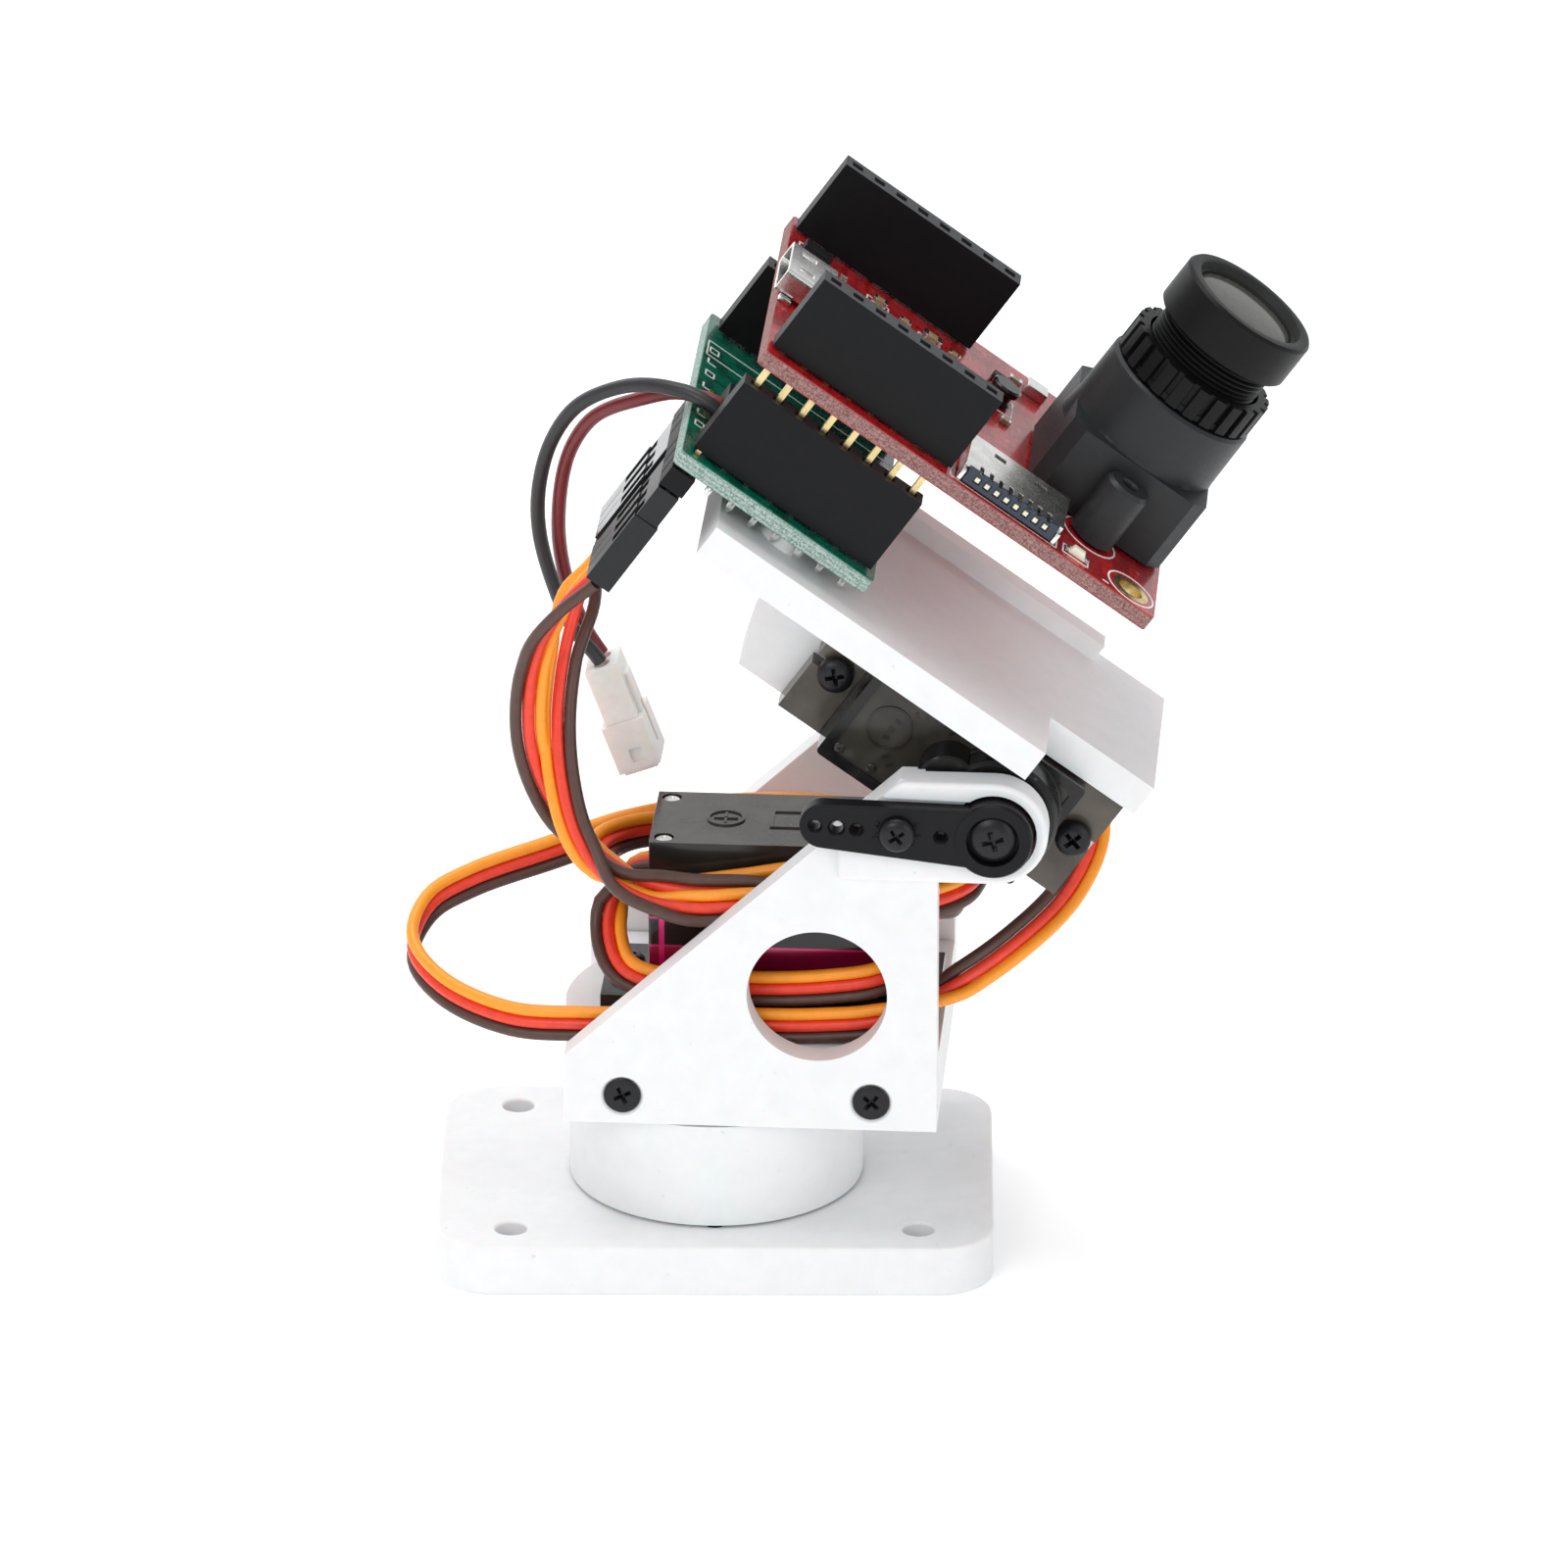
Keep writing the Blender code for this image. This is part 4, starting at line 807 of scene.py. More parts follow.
def servo_bottom(prefix, mount):
    corners = [(u, v) for u in (LEFT + 1.35, RIGHT - 1.35) for v in (-HALF + 1.35, HALF - 1.35)]
    pockets = [cylinder(u, v, 0.95, -1, 1.1, 24) for u, v in corners]
    inner = box((LEFT + 1, -HALF + 1, 1), (RIGHT - 1, HALF - 1, 4))
    # The bottom shell's bevelled edges take the paler edge smoke, painted light coming through them.
    piece(f"{prefix}_bottom_shell", box((LEFT, -HALF, 0), (RIGHT, HALF, 3.1)), mount,
          ("smoke", "smoke_edge", "smoke_face"), (f"{prefix}_bottom_cover",),
          choose=lambda centre, normal, index: index or (2 if normal.z < -0.9 else 0),
          cut=[together(*pockets), inner], bevel=0.32, segments=3, edge=True)
    heads = []
    for u, v in corners:
        head = turned([(0, 0), (0.5, -0.02), (0.78, -0.12), (0.84, -0.35), (0.36, -0.4), (0.36, -0.9),
                       (0, -0.9)], 24)
        heads.append(moved(head, shift(u, v, 0.06) @ turn("X", 180)))
    cuts = [moved(cross(0.44, 0.11, -0.3, 0.2), shift(u, v, 0.06) @ turn("X", 180)) for u, v in corners]
    piece(f"{prefix}_case_screws", together(*heads), mount, "steel", cut=[together(*cuts)])
    marks = [moved(turned([(1.55, -0.16), (1.85, -0.16), (1.85, 0.1), (1.55, 0.1)], 40), shift(-1.0, 0, 0))]
    bars = (
        (-2.15, -0.12, 0.15, 0.12), (-1.12, -1.2, -0.88, 1.2), (-5.6, -2.0, -5.3, 2.0),
        (-9.4, -2.0, -9.1, 2.0), (-9.1, -2.0, -5.6, -1.7), (-9.1, 1.7, -5.6, 2.0),
    )
    marks += [box((a, b, -0.16), (c, d, 0.1)) for a, b, c, d in bars]
    piece(f"{prefix}_cover_marks", together(*marks), mount, "smoke_face")


def servo_case(prefix, mount, ears):
    ear_block = box((-21.6, -HALF + 0.01, 16), (10.6, HALF - 0.01, 18.5))
    hollow = box((LEFT + 1, -HALF + 1, 2.4), (RIGHT - 1, HALF - 1, 15.8))
    above = box((LEFT + 1, -HALF + 1, 17.5), (RIGHT - 1, HALF - 1, 19.5))
    holes = [cylinder(u, 0, 1.0, 15, 19.5, 24) for u in EAR_SCREWS]
    notches = [box((-22.5, -0.55, 15), (-19.6, 0.55, 19.5)), box((8.9, -0.55, 15), (11.5, 0.55, 19.5))]
    slot = box((RIGHT - 2, -2.2, 2.4), (RIGHT + 1, 2.2, 6.4))

    # Ear faces take the third and fourth finishes; on the tilt servo these are paler smoke, painted light
    # coming through the ears.
    def choose(centre, normal, index):
        on_ear = centre.x < LEFT - 0.1 or centre.x > RIGHT + 0.1
        return index + 2 if on_ear else index

    # The case's bevelled edges take the paler edge smoke, painted light coming through them.
    piece(f"{prefix}_case_shell", box((LEFT, -HALF, 3.4), (RIGHT, HALF, 18.5)), mount,
          ("smoke", "smoke_edge", ears, "smoke_ear_edge"), (f"{prefix}_middle_case",), choose=choose,
          add=[ear_block], cut=[hollow, above, *holes, *notches, slot], bevel=0.2, segments=2, edge=True)
    grommet = rounded(box((RIGHT - 0.8, -1.95, 3.7), (RIGHT + 0.35, 1.95, 5.4)), 0.2, 2)
    piece(f"{prefix}_wire_grommet", grommet, mount, "plug")
    outer = rounded_rectangle(LEFT - 0.07, -HALF - 0.07, RIGHT + 0.07, HALF + 0.07, 0.3, 4)
    label = prism(outer, 7.7, 15.6)
    inside = prism(rounded_rectangle(LEFT - 0.01, -HALF - 0.01, RIGHT + 0.01, HALF + 0.01, 0.25, 4), 7, 16.2)
    window = box((RIGHT - 1, -HALF + 0.6, 7), (RIGHT + 1, HALF - 0.6, 16.2))
    piece(f"{prefix}_label", label, mount, f"{prefix.split('_')[0]}_label", cut=[inside, window])


def servo_top(prefix, mount):
    lid = prism(rounded_rectangle(LEFT, -HALF, RIGHT, HALF, 0.5, 4), 18.8, 23.0)
    dish = prism(rounded_rectangle(LEFT + 1, -HALF + 1, RIGHT - 1, HALF - 1, 0.7), 22.7, 23.5)
    lid = as_shape(shaped(lid, cut=[dish]))
    collar = turned([(0, 20), (6.0, 20), (6.0, 23.4), (5.7, 23.7), (0, 23.7)], 64)
    big = turned([(0, 20), (5.85, 20), (5.85, 26.3), (5.5, 26.7), (0, 26.7)], 72)
    small = moved(turned([(0, 20), (2.9, 20), (2.9, 26.4), (2.6, 26.7), (0, 26.7)], 48), shift(-STAGE, 0, 0))
    cuts = [
        box((LEFT + 1, -HALF + 1, 18), (RIGHT - 1, HALF - 1, 21.9)), cylinder(0, 0, 2.6, 20, 28, 32),
        cylinder(0, 0, 4.95, 19, 25.8),
    ]

    def choose(centre, normal, index):
        if math.hypot(centre.x, centre.y) < 6.2 or math.hypot(centre.x + STAGE, centre.y) < 3:
            return 1
        inside = LEFT + 0.9 < centre.x < RIGHT - 0.9 and abs(centre.y) < HALF - 0.9
        return 2 if inside and normal.z > 0.5 else 0

    piece(f"{prefix}_top_shell", lid, mount, ("smoke", "boss", "smoke_deep"),
          (f"{prefix}_gear_cover",), choose=choose, add=[collar, big, small], cut=cuts, bevel=0.08)
    dots = [(-15.3, -4.5), (-15.3, 4.5), (-11.6, -4.4), (-11.6, 4.4)]
    studs = [moved(turned([(0, 0), (0.5, 0), (0.5, 0.16), (0.36, 0.24), (0, 0.24)], 20), shift(u, v, 22.7))
             for u, v in dots]
    ring = moved(turned([(2.0, 0), (2.25, 0), (2.25, 0.14), (2.0, 0.14)], 40), shift(-12.6, 0, 22.7))
    teeth = []
    for number in range(22):
        angle = math.radians(number * 360 / 22)
        if abs(math.cos(angle)) > 0.2 or math.sin(angle) > 0:
            tooth = box((3.15, -0.16, 22.68), (3.75, 0.16, 22.8))
            teeth.append(moved(tooth, shift(-9.0, 0, 0) @ turn("Z", math.degrees(angle))))
    piece(f"{prefix}_top_marks", together(*studs, ring, *teeth), mount, "smoke")


def servo(prefix, mount, ears):
    servo_bottom(prefix, mount)
    servo_case(prefix, mount, ears)
    servo_top(prefix, mount)


def tapered_arm(wide, narrow, length, margin=0.0, steps=16):
    root, tip = wide + margin, narrow + margin
    return [(0, -root), (0, root), *arc(-(length - narrow), 0, tip, 90, 270, steps)]


def tilt_horn():
    holes = ((4.9, 0.5), (12.8, 0.5), (14.7, 0.62), (16.7, 0.5))
    arm = rounded(prism(tapered_arm(*HORN_ARM), 30.3, 32.15), 0.22, 3)
    hub = [(0, 28.2), (3.75, 28.2), (3.75, 31.9), (3.55, 32.2), (0, 32.2)]
    cuts = [cylinder(0, 0, 2.55, 27, 30.4, 32), cylinder(0, 0, 1.0, 28, 33, 24),
            cylinder(0, 0, 2.5, 31.1, 33, 40)]
    cuts += [
        moved(turned([(0, 29), (r, 29), (r, 31.85), (r + 0.3, 32.25), (0, 32.25)], 24), shift(-x, 0, 0))
        for x, r in holes
    ]
    cuts.append(cylinder(-9.0, 0, 0.95, 29, 33, 24))
    piece("tilt_horn_body", turned(hub, 64), ON_HORN, "horn", ("tilt_horn",), add=[arm],
          cut=cuts, bevel=0.05, limit=50)
    chewed = bmesh.new()
    rng = random.Random(11)
    for _ in range(16):
        angle, distance = rng.uniform(0, 2 * math.pi), rng.uniform(1.75, 2.25)
        centre = Vector((-9.0 + distance * math.cos(angle), distance * math.sin(angle) * 0.85, 32.16))
        made = bmesh.ops.create_icosphere(chewed, subdivisions=2, radius=0.17)
        for vertex in made["verts"]:
            vertex.co = Vector((vertex.co.x * rng.uniform(1.0, 1.7), vertex.co.y, vertex.co.z * 0.8)) + centre
    piece("horn_shavings", chewed, ON_HORN, "horn")


# Bracket


def bracket():
    meets = math.degrees(math.atan2(math.sqrt(14.4**2 - 11.5**2), -11.5))
    outline = [(22, -11.2), (22, 15.2), (-11.5, 15.2), *arc(0, 0, 14.4, meets, 360 - meets, 32),
               (-11.5, -11.2)]
    pocket = box((-6.2, -6.4, 18.5), (17.2, 6.4, 24))
    bores = [cylinder(0, 0, 6.2, 15, 19.5), cylinder(STAGE, 0, 3.2, 15, 19.5)]
    pilots = [cylinder(x, 0, 1.0, 17.5, 24, 24) for x in (19.2, -8.5)]
    sides = ((-7.85, 18.8), (15.8, 18.8))
    for x, z in sides:
        pilots += [cylinder(x, z, 1.1, -12.2, -6.7, 24, "XZ"), cylinder(x, z, 1.1, 9.7, 16.2, 24, "XZ")]
    piece("floor_block_body", prism(outline, 16, 22.7), ON_BRACKET, "white", ("floor_block",),
          cut=[pocket, *bores, *pilots], bevel=0.15)

    window = circle(10.65, 29.7, 6.65, 96)
    plate = [(-13.4, 16), (22, 16), (22, 42.4), (20.7, 44.5), (20.7, 52.3), (18.5, 52.3), (-13.4, 22.8)]
    ear = [(12.6, 42.1), *arc(TILT_X, TILT_Z, 5.1, -90, 90, 24), (18.5, 52.3), (12.6, 46.85)]
    ear_body = rounded(prism(ear, -15.5, -12.0, "XZ"), 0.55, 4)
    cosine, sine = math.cos(math.radians(HORN_RAISED)), math.sin(math.radians(HORN_RAISED))
    recess = [
        (TILT_X + x * cosine + y * sine, TILT_Z - x * sine + y * cosine) for x,
        y in tapered_arm(*HORN_ARM, GAP)
    ]
    arm_hole = (TILT_X - 9 * cosine, TILT_Z + 9 * sine)

    def countersinks(outer, inwards):
        shapes = []
        for x, z in sides:
            shape = turned([(0, -1), (2.9, -1), (2.05, 0), (1.1, 1.1), (1.1, 5), (0, 5)], 40)
            shapes.append(moved(shape, shift(x, outer, z) @ turn("X", -90 if inwards else 90)))
        return together(*shapes)

    piece("near_plate_body", prism(plate, -14.5, -11.5, "XZ"), ON_BRACKET, "white",
          ("near_side_plate",), add=[ear_body],
          cut=[
              prism(window, -16, -10, "XZ"), cylinder(TILT_X, TILT_Z, 4.05, -17, -11.9, 48, "XZ"),
              prism(recess, -17, -14.9, "XZ"), cylinder(*arm_hole, 1.0, -17, -10, 24, "XZ"),
              cylinder(TILT_X, TILT_Z, 8.96, -12.0, -10, 64, "XZ"), countersinks(-14.5, True),
          ],
          bevel=0.12, limit=40)
    far = [(-13.4, 16), (22, 16), (22, 45.5), (11.1, 45.5), (-13.4, 22.8)]
    piece("far_plate_body", prism(far, 15.5, 18.5, "XZ"), ON_BRACKET, "white",
          ("far_side_plate",), cut=[prism(window, 14, 20, "XZ"), countersinks(18.5, False)], bevel=0.15)
    faces = ((-14.5, 90), (18.5, -90))
    for number, (y, angle, x, z) in enumerate(((y, a, x, z) for y, a in faces for x, z in sides), start=1):
        screw(f"side_screw_{number}_detail", (PAN @ shift(x, y, z) @ turn("X", angle), "bracket"),
              f"side_screw_{number}", 1.75, 0.95, 0.75, 7.0, countersunk=True, turned_by=25 * number)
    screw("arm_screw_detail", (PAN @ shift(arm_hole[0], -18.1, arm_hole[1]) @ turn("X", 90), "bracket"),
          "tilt_horn_arm_screw", 1.7, 0.9, 0.65, 5.2, turned_by=35)
    screw("tilt_horn_screw_detail", (HORN @ shift(0, 0, 32.1), "bracket"), "tilt_horn_screw", 2.2, 0.7, 0.7,
          4.8)
    for number, u in enumerate(EAR_SCREWS, start=1):
        screw(f"pan_ear_screw_{number}_detail", (PAN_SERVO @ shift(u, 0, 14.4) @ turn("X", 180), "bracket"),
              f"pan_servo_ear_screw_{number}", 1.75, 1.3, 0.7, 7.0)
        screw(f"tilt_ear_screw_{number}_detail", (TILT_SERVO @ shift(u, 0, 20.1), "platform"),
              f"tilt_servo_ear_screw_{number}", 1.75, 1.3, 0.7, 7.0, turned_by=15 + 30 * number)


# Platform


def platform():
    deck = [(-38.8, -15.5), (-1, -15.5), (-1, -6.7), (11.1, -6.7), (11.1, 15.3), (-38.8, 15.3)]
    left = prism([(-26.5, -6), (-17.2, -6), (-17.2, 7.4), (-28.0, 7.4), (-27.8, -2)], -0.6, 5.4, "XZ")
    right = prism(rectangle(6.2, -6, 11.09, 7.4), -0.6, 5.4, "XZ")
    rail = box((-38.79, 12.6, 7.4), (2.8, 15.29, 11.5))
    boss = cylinder(-32, -8.5, 2.4, 7.4, 11.5, 32)
    holes = [cylinder(u, 0, 1.0, -1.6, 6.4, 24, "XZ") for u in EAR_SCREWS]
    holes.append(cylinder(-32, -8.5, 1.1, 0, 20, 24))
    piece("platform_body", prism(deck, 6.4, 9.7), ON_PLATFORM, "white", ("platform",),
          add=[left, right, rail, boss], cut=[together(*holes)], bevel=0.22, segments=2)
    screw("shield_screw_detail", (TILT @ shift(-32, -8.5, 4.9) @ turn("X", 180), "platform"), "shield_screw",
          1.8, 1.2, 0.75, 7.8, finish="nylon")


# Boards

BOARD_Y, BOARD_HALF = 4.2, 17.8
HEADER_LEFT, HEADER_LENGTH = -44.6, 20.3
PIN_X = [HEADER_LEFT + HEADER_LENGTH / 2 - PITCH * 3.5 + PITCH * i for i in range(8)]
ROWS = (BOARD_Y - 15.24, BOARD_Y + 15.24)


def board(name, left, right, low, finishes, node, holes):
    outline = rounded_rectangle(left, BOARD_Y - BOARD_HALF, right, BOARD_Y + BOARD_HALF, 0.5, 4)
    cuts = [cylinder(x, y, 0.5, low - 1, low + 3, 16) for x in PIN_X for y in ROWS]
    piece(name, prism(outline, low, low + BOARD_THICK), ON_PLATFORM, finishes, (node,),
          choose=lambda centre, normal, index: 0 if abs(normal.z) > 0.7 else 1, cut=[together(*cuts, *holes)],
          bevel=0.06)


def header(name, y, top, node):
    """A row of eight sockets, seen from above as walls round dark pockets, their tops painted pale: a painted
    sheen.
    """
    low, high = top + GAP, top + GAP + 8.2
    pockets = [prism(around(x, y, 0.75, 0.62), high - 0.7, high + 0.5, shrink=0.5) for x in PIN_X]
    wells = [block(x, y, 0.33, 0.33, high - 6, high) for x in PIN_X]
    body = box((HEADER_LEFT, y - 1.25, low), (HEADER_LEFT + HEADER_LENGTH, y + 1.25, high))
    # Upward faces at the top take the paler finish: painted sheen on the black plastic.
    piece(name, body, ON_PLATFORM, ("header", "header_lit_top"), (node,),
          choose=lambda centre, normal, index: 1 if normal.z > 0.5 and centre.z > high - 0.15 else 0,
          cut=[together(*pockets), together(*wells)], bevel=0.07)


def pins(name, rows, low, high, finish="gold"):
    """Square pins with pointed ends."""
    shapes = []
    for y in rows:
        for x in PIN_X:
            body = around(x, y, 0.3, 0.3)
            shapes.append(prism(body, low + 0.5, high))
            shapes.append(prism(body, low, low + 0.5, shrink=0.4))
    piece(name, together(*shapes), ON_PLATFORM, finish, slot="brass")


def solder(name, spots, level, height):
    """Shiny cones of solder round the pins, pointing down."""
    shapes = []
    for i, (x, y) in enumerate(spots):
        wide = 0.82 + 0.06 * math.sin(i * 2.1)
        tall = height * (1 + 0.12 * math.sin(i * 1.3))
        profile = [(0, 0.02), (wide, 0.02), (wide * 0.62, 0.3 * tall), (wide * 0.42, 0.65 * tall),
                   (0.26, tall), (0, tall)]
        cone = turned(profile, 20)
        shapes.append(moved(cone, shift(x, y, level) @ Matrix.Diagonal((1, 1, -1, 1))))
    piece(name, together(*shapes), ON_PLATFORM, "tinned", smooth=60)


def silk(name, level, rings, bars):
    """White board marks: ring outlines and bars, a hair proud of the mask."""
    shapes = [moved(turned([(r - 0.09, 0), (r + 0.09, 0), (r + 0.09, 0.03), (r - 0.09, 0.03)], 48),
                    shift(x, y, level))
              for x, y, r in rings]
    shapes += [box((a, b, level), (c, d, level + 0.03)) for a, b, c, d in bars]
    piece(name, together(*shapes), ON_PLATFORM, "silk")


def frame_bars(left, near, right, far, width=0.16):
    return [
        (left, near, right, near + width), (left, far - width, right, far),
        (left, near, left + width, far), (right - width, near, right, far),
    ]


def chips(level):
    """The small parts on the camera board, grouped by what they are made of."""
    black, metal, ceramic = [], [], []
    for x, y, length, width, height, legs in (
        (-42.1, 15.4 - 0.6, 3.0, 1.6, 1.15, 3), (-42.6, 10.4, 3.0, 1.7, 1.1, 3),
        (-20.6, 15.2, 2.0, 1.3, 1.0, 3),
    ):
        black.append(rounded(block(x, y, length / 2, width / 2, level + 0.1, level + height), 0.1, 2))
        for k in range(legs):
            for side in (-1, 1):
                at = x - length / 2 + length * (k + 0.5) / legs
                edge = y + side * width / 2
                a, b = sorted((edge - side * 0.1, edge + side * 0.75))
                metal.append(box((at - 0.2, a, level + 0.05), (at + 0.2, b, level + 0.22)))
                a, b = sorted((edge - side * 0.1, edge + side * 0.2))
                metal.append(box((at - 0.2, a, level + 0.2), (at + 0.2, b, level + 0.6)))
    passives = (
        (-34.6, 14.6, 1.6, 0.9, 0), (-36.9, 12.6, 1.2, 0.7, 0), (-34.2, 12.4, 1.2, 0.7, 1),
        (-31.6, 13.9, 1.3, 0.8, 0), (-30.9, 11.6, 1.0, 0.6, 1), (-28.6, 14.0, 2.1, 1.2, 0),
        (-25.9, 14.0, 1.3, 0.8, 0), (-25.6, 11.8, 1.2, 0.7, 1), (-38.8, 14.0, 1.2, 0.7, 1),
        (-28.0, 9.4, 1.2, 0.7, 0), (-33.0, 8.0, 1.6, 0.9, 0), (-37.0, 7.2, 1.2, 0.7, 1),
        (-30.2, 5.4, 1.2, 0.7, 0), (-22.4, 6.4, 1.2, 0.7, 0), (-22.6, 2.2, 1.2, 0.7, 1),
        (-24.6, 0.4, 1.6, 0.9, 0), (-19.4, 7.2, 1.2, 0.7, 0), (-19.0, 18.2, 1.4, 0.8, 0),
    )
    for x, y, length, width, upright in passives:
        a, b = (width, length) if upright else (length, width)
        height = 0.55 * width + 0.15
        right, half = (a * 0.5, b * 0.27) if upright else (a * 0.27, b * 0.5)
        middle = box((x - a * 0.27, y - half, level + 0.03), (x + right, y + half, level + height))
        ceramic.append(rounded(middle, 0.04, 1))
        for side in (-1, 1):
            if upright:
                low, high = sorted((y + side * b * 0.25, y + side * b * 0.5))
                metal.append(rounded(box((x - a / 2, low, level), (x + a / 2, high, level + height + 0.03)),
                                     0.06, 2))
            else:
                low, high = sorted((x + side * a * 0.25, x + side * a * 0.5))
                metal.append(rounded(box((low, y - b / 2, level), (high, y + b / 2, level + height + 0.03)),
                                     0.06, 2))
    x, y, length, width = -32.0, 1.2, 6.4, 6.4
    black.append(rounded(block(x, y, length / 2, width / 2, level + 0.05, level + 0.9), 0.12, 2))
    for k in range(10):
        at = -2.7 + 0.6 * k
        metal.append(box((x + at - 0.13, y - width / 2 - 0.3, level),
                         (x + at + 0.13, y + width / 2 + 0.3, level + 0.16)))
        metal.append(box((x - length / 2 - 0.3, y + at - 0.13, level),
                         (x + length / 2 + 0.3, y + at + 0.13, level + 0.16)))
    metal.append(rounded(box((-17.9, 17.4, level), (-15.6, 19.6, level + 1.1)), 0.15, 2))
    piece("camera_board_chips", together(*black), ON_PLATFORM, "chip")
    piece("camera_board_legs", together(*metal), ON_PLATFORM, "tinned")
    piece("camera_board_passives", together(*ceramic), ON_PLATFORM, "ceramic")
    coil = turned([(0, 0.1), (1.3, 0.1), (1.45, 0.35), (1.1, 0.7), (1.1, 1.1), (1.5, 1.4), (1.55, 1.9),
                   (1.3, 2.1), (0, 2.1)], 40)
    piece("camera_board_inductor", moved(coil, shift(-20.5, 11.2, level)), ON_PLATFORM, "boss")


def card_socket(level):
    left, right, near, far = -23.5, -12.4, -13.4, -6.2
    top = level + 2.3
    outline = [(near + 1.3, level + GAP), (far, level + GAP), (far, top), (near + 1.0, top - 0.55),
               (near + 1.0, top - 0.9)]
    shell = prism(outline, left, right, "YZ")
    inner = prism([(near, level + 0.62), (far - 0.3, level + 0.62), (far - 0.3, top - 0.32),
                   (near, top - 1.0)], left + 0.35, right - 0.35, "YZ")
    slots = [box((left + 1.5 + 1.1 * k, near, top - 1.3), (left + 1.95 + 1.1 * k, near + 2.1, top + 1))
             for k in range(8)]
    tabs = [box((left + 2.6, far - 1.8, top - 0.5), (left + 3.9, far - 1.0, top + 1)),
            box((right - 3.9, far - 1.8, top - 0.5), (right - 2.6, far - 1.0, top + 1))]
    piece("card_socket_shell", shell, ON_PLATFORM, "steel", ("memory_card_socket",),
          cut=[inner, together(*slots, *tabs)], bevel=0.1)
    hooks = []
    for x in (left - 0.05, right - 0.4):
        hooks.append(box((x, near + 0.15, level + 0.1), (x + 0.45, near + 1.7, top - 0.95)))
    piece("card_socket_hooks", together(*hooks), ON_PLATFORM, "steel", bevel=0.1)
    front = box((left + 0.5, near + 0.1, level + 0.45), (right - 0.5, near + 0.55, level + 1.95))
    rail = box((left + 0.5, near + 0.1, level + 0.3), (right - 0.5, near + 1.25, level + 0.6))
    pads_at = [left + 1.72 + 1.1 * k for k in range(8)]
    dents = [box((x - 0.36, near - 0.1, level + 0.78), (x + 0.36, near + 0.35, level + 1.5)) for x in pads_at]
    ends = [box((x - 0.25, near - 0.2, level + 1.72), (x + 0.25, near + 0.8, level + 2.2)) for x in pads_at]
    piece("card_socket_insulator", front, ON_PLATFORM, "insulator", add=[rail],
          cut=[together(*dents), together(*ends)], bevel=0.05)
    pads = [rounded(box((x - 0.26, near + 0.16, level + 0.88), (x + 0.26, near + 0.5, level + 1.4)), 0.05, 1)
            for x in pads_at]
    piece("card_socket_contacts", together(*pads), ON_PLATFORM, "contact")


def usb_socket(level):
    outline = rounded_rectangle(BOARD_Y - 3.8, level + GAP, BOARD_Y + 3.8, level + 2.9, 0.55, 6)
    inner = rounded_rectangle(BOARD_Y - 3.45, level + GAP + 0.35, BOARD_Y + 3.45, level + 2.55, 0.4, 6)
    shell = prism(outline, -45.7, -40.6, "YZ")
    seams = [box((-44.6, BOARD_Y + y - 0.5, level + 2.7), (-43.0, BOARD_Y + y + 0.5, level + 4))
             for y in (-1.9, 1.9)]
    piece("usb_socket_shell", shell, ON_PLATFORM, "steel", ("usb_socket",),
          cut=[prism(inner, -47, -41.2, "YZ"), together(*seams)], bevel=0.06)
    tongue = rounded(box((-45.0, BOARD_Y - 2.4, level + 1.35), (-41.3, BOARD_Y + 2.4, level + 1.8)), 0.08, 2)
    piece("usb_socket_tongue", tongue, ON_PLATFORM, "chip")
    feet = [rounded(box((x, y - 0.5, level), (x + 1.3, y + 0.5, level + 0.5)), 0.12, 2)
            for x in (-45.0, -42.2) for y in (BOARD_Y - 4.2, BOARD_Y + 4.2)]
    piece("usb_socket_feet", together(*feet), ON_PLATFORM, "tinned")


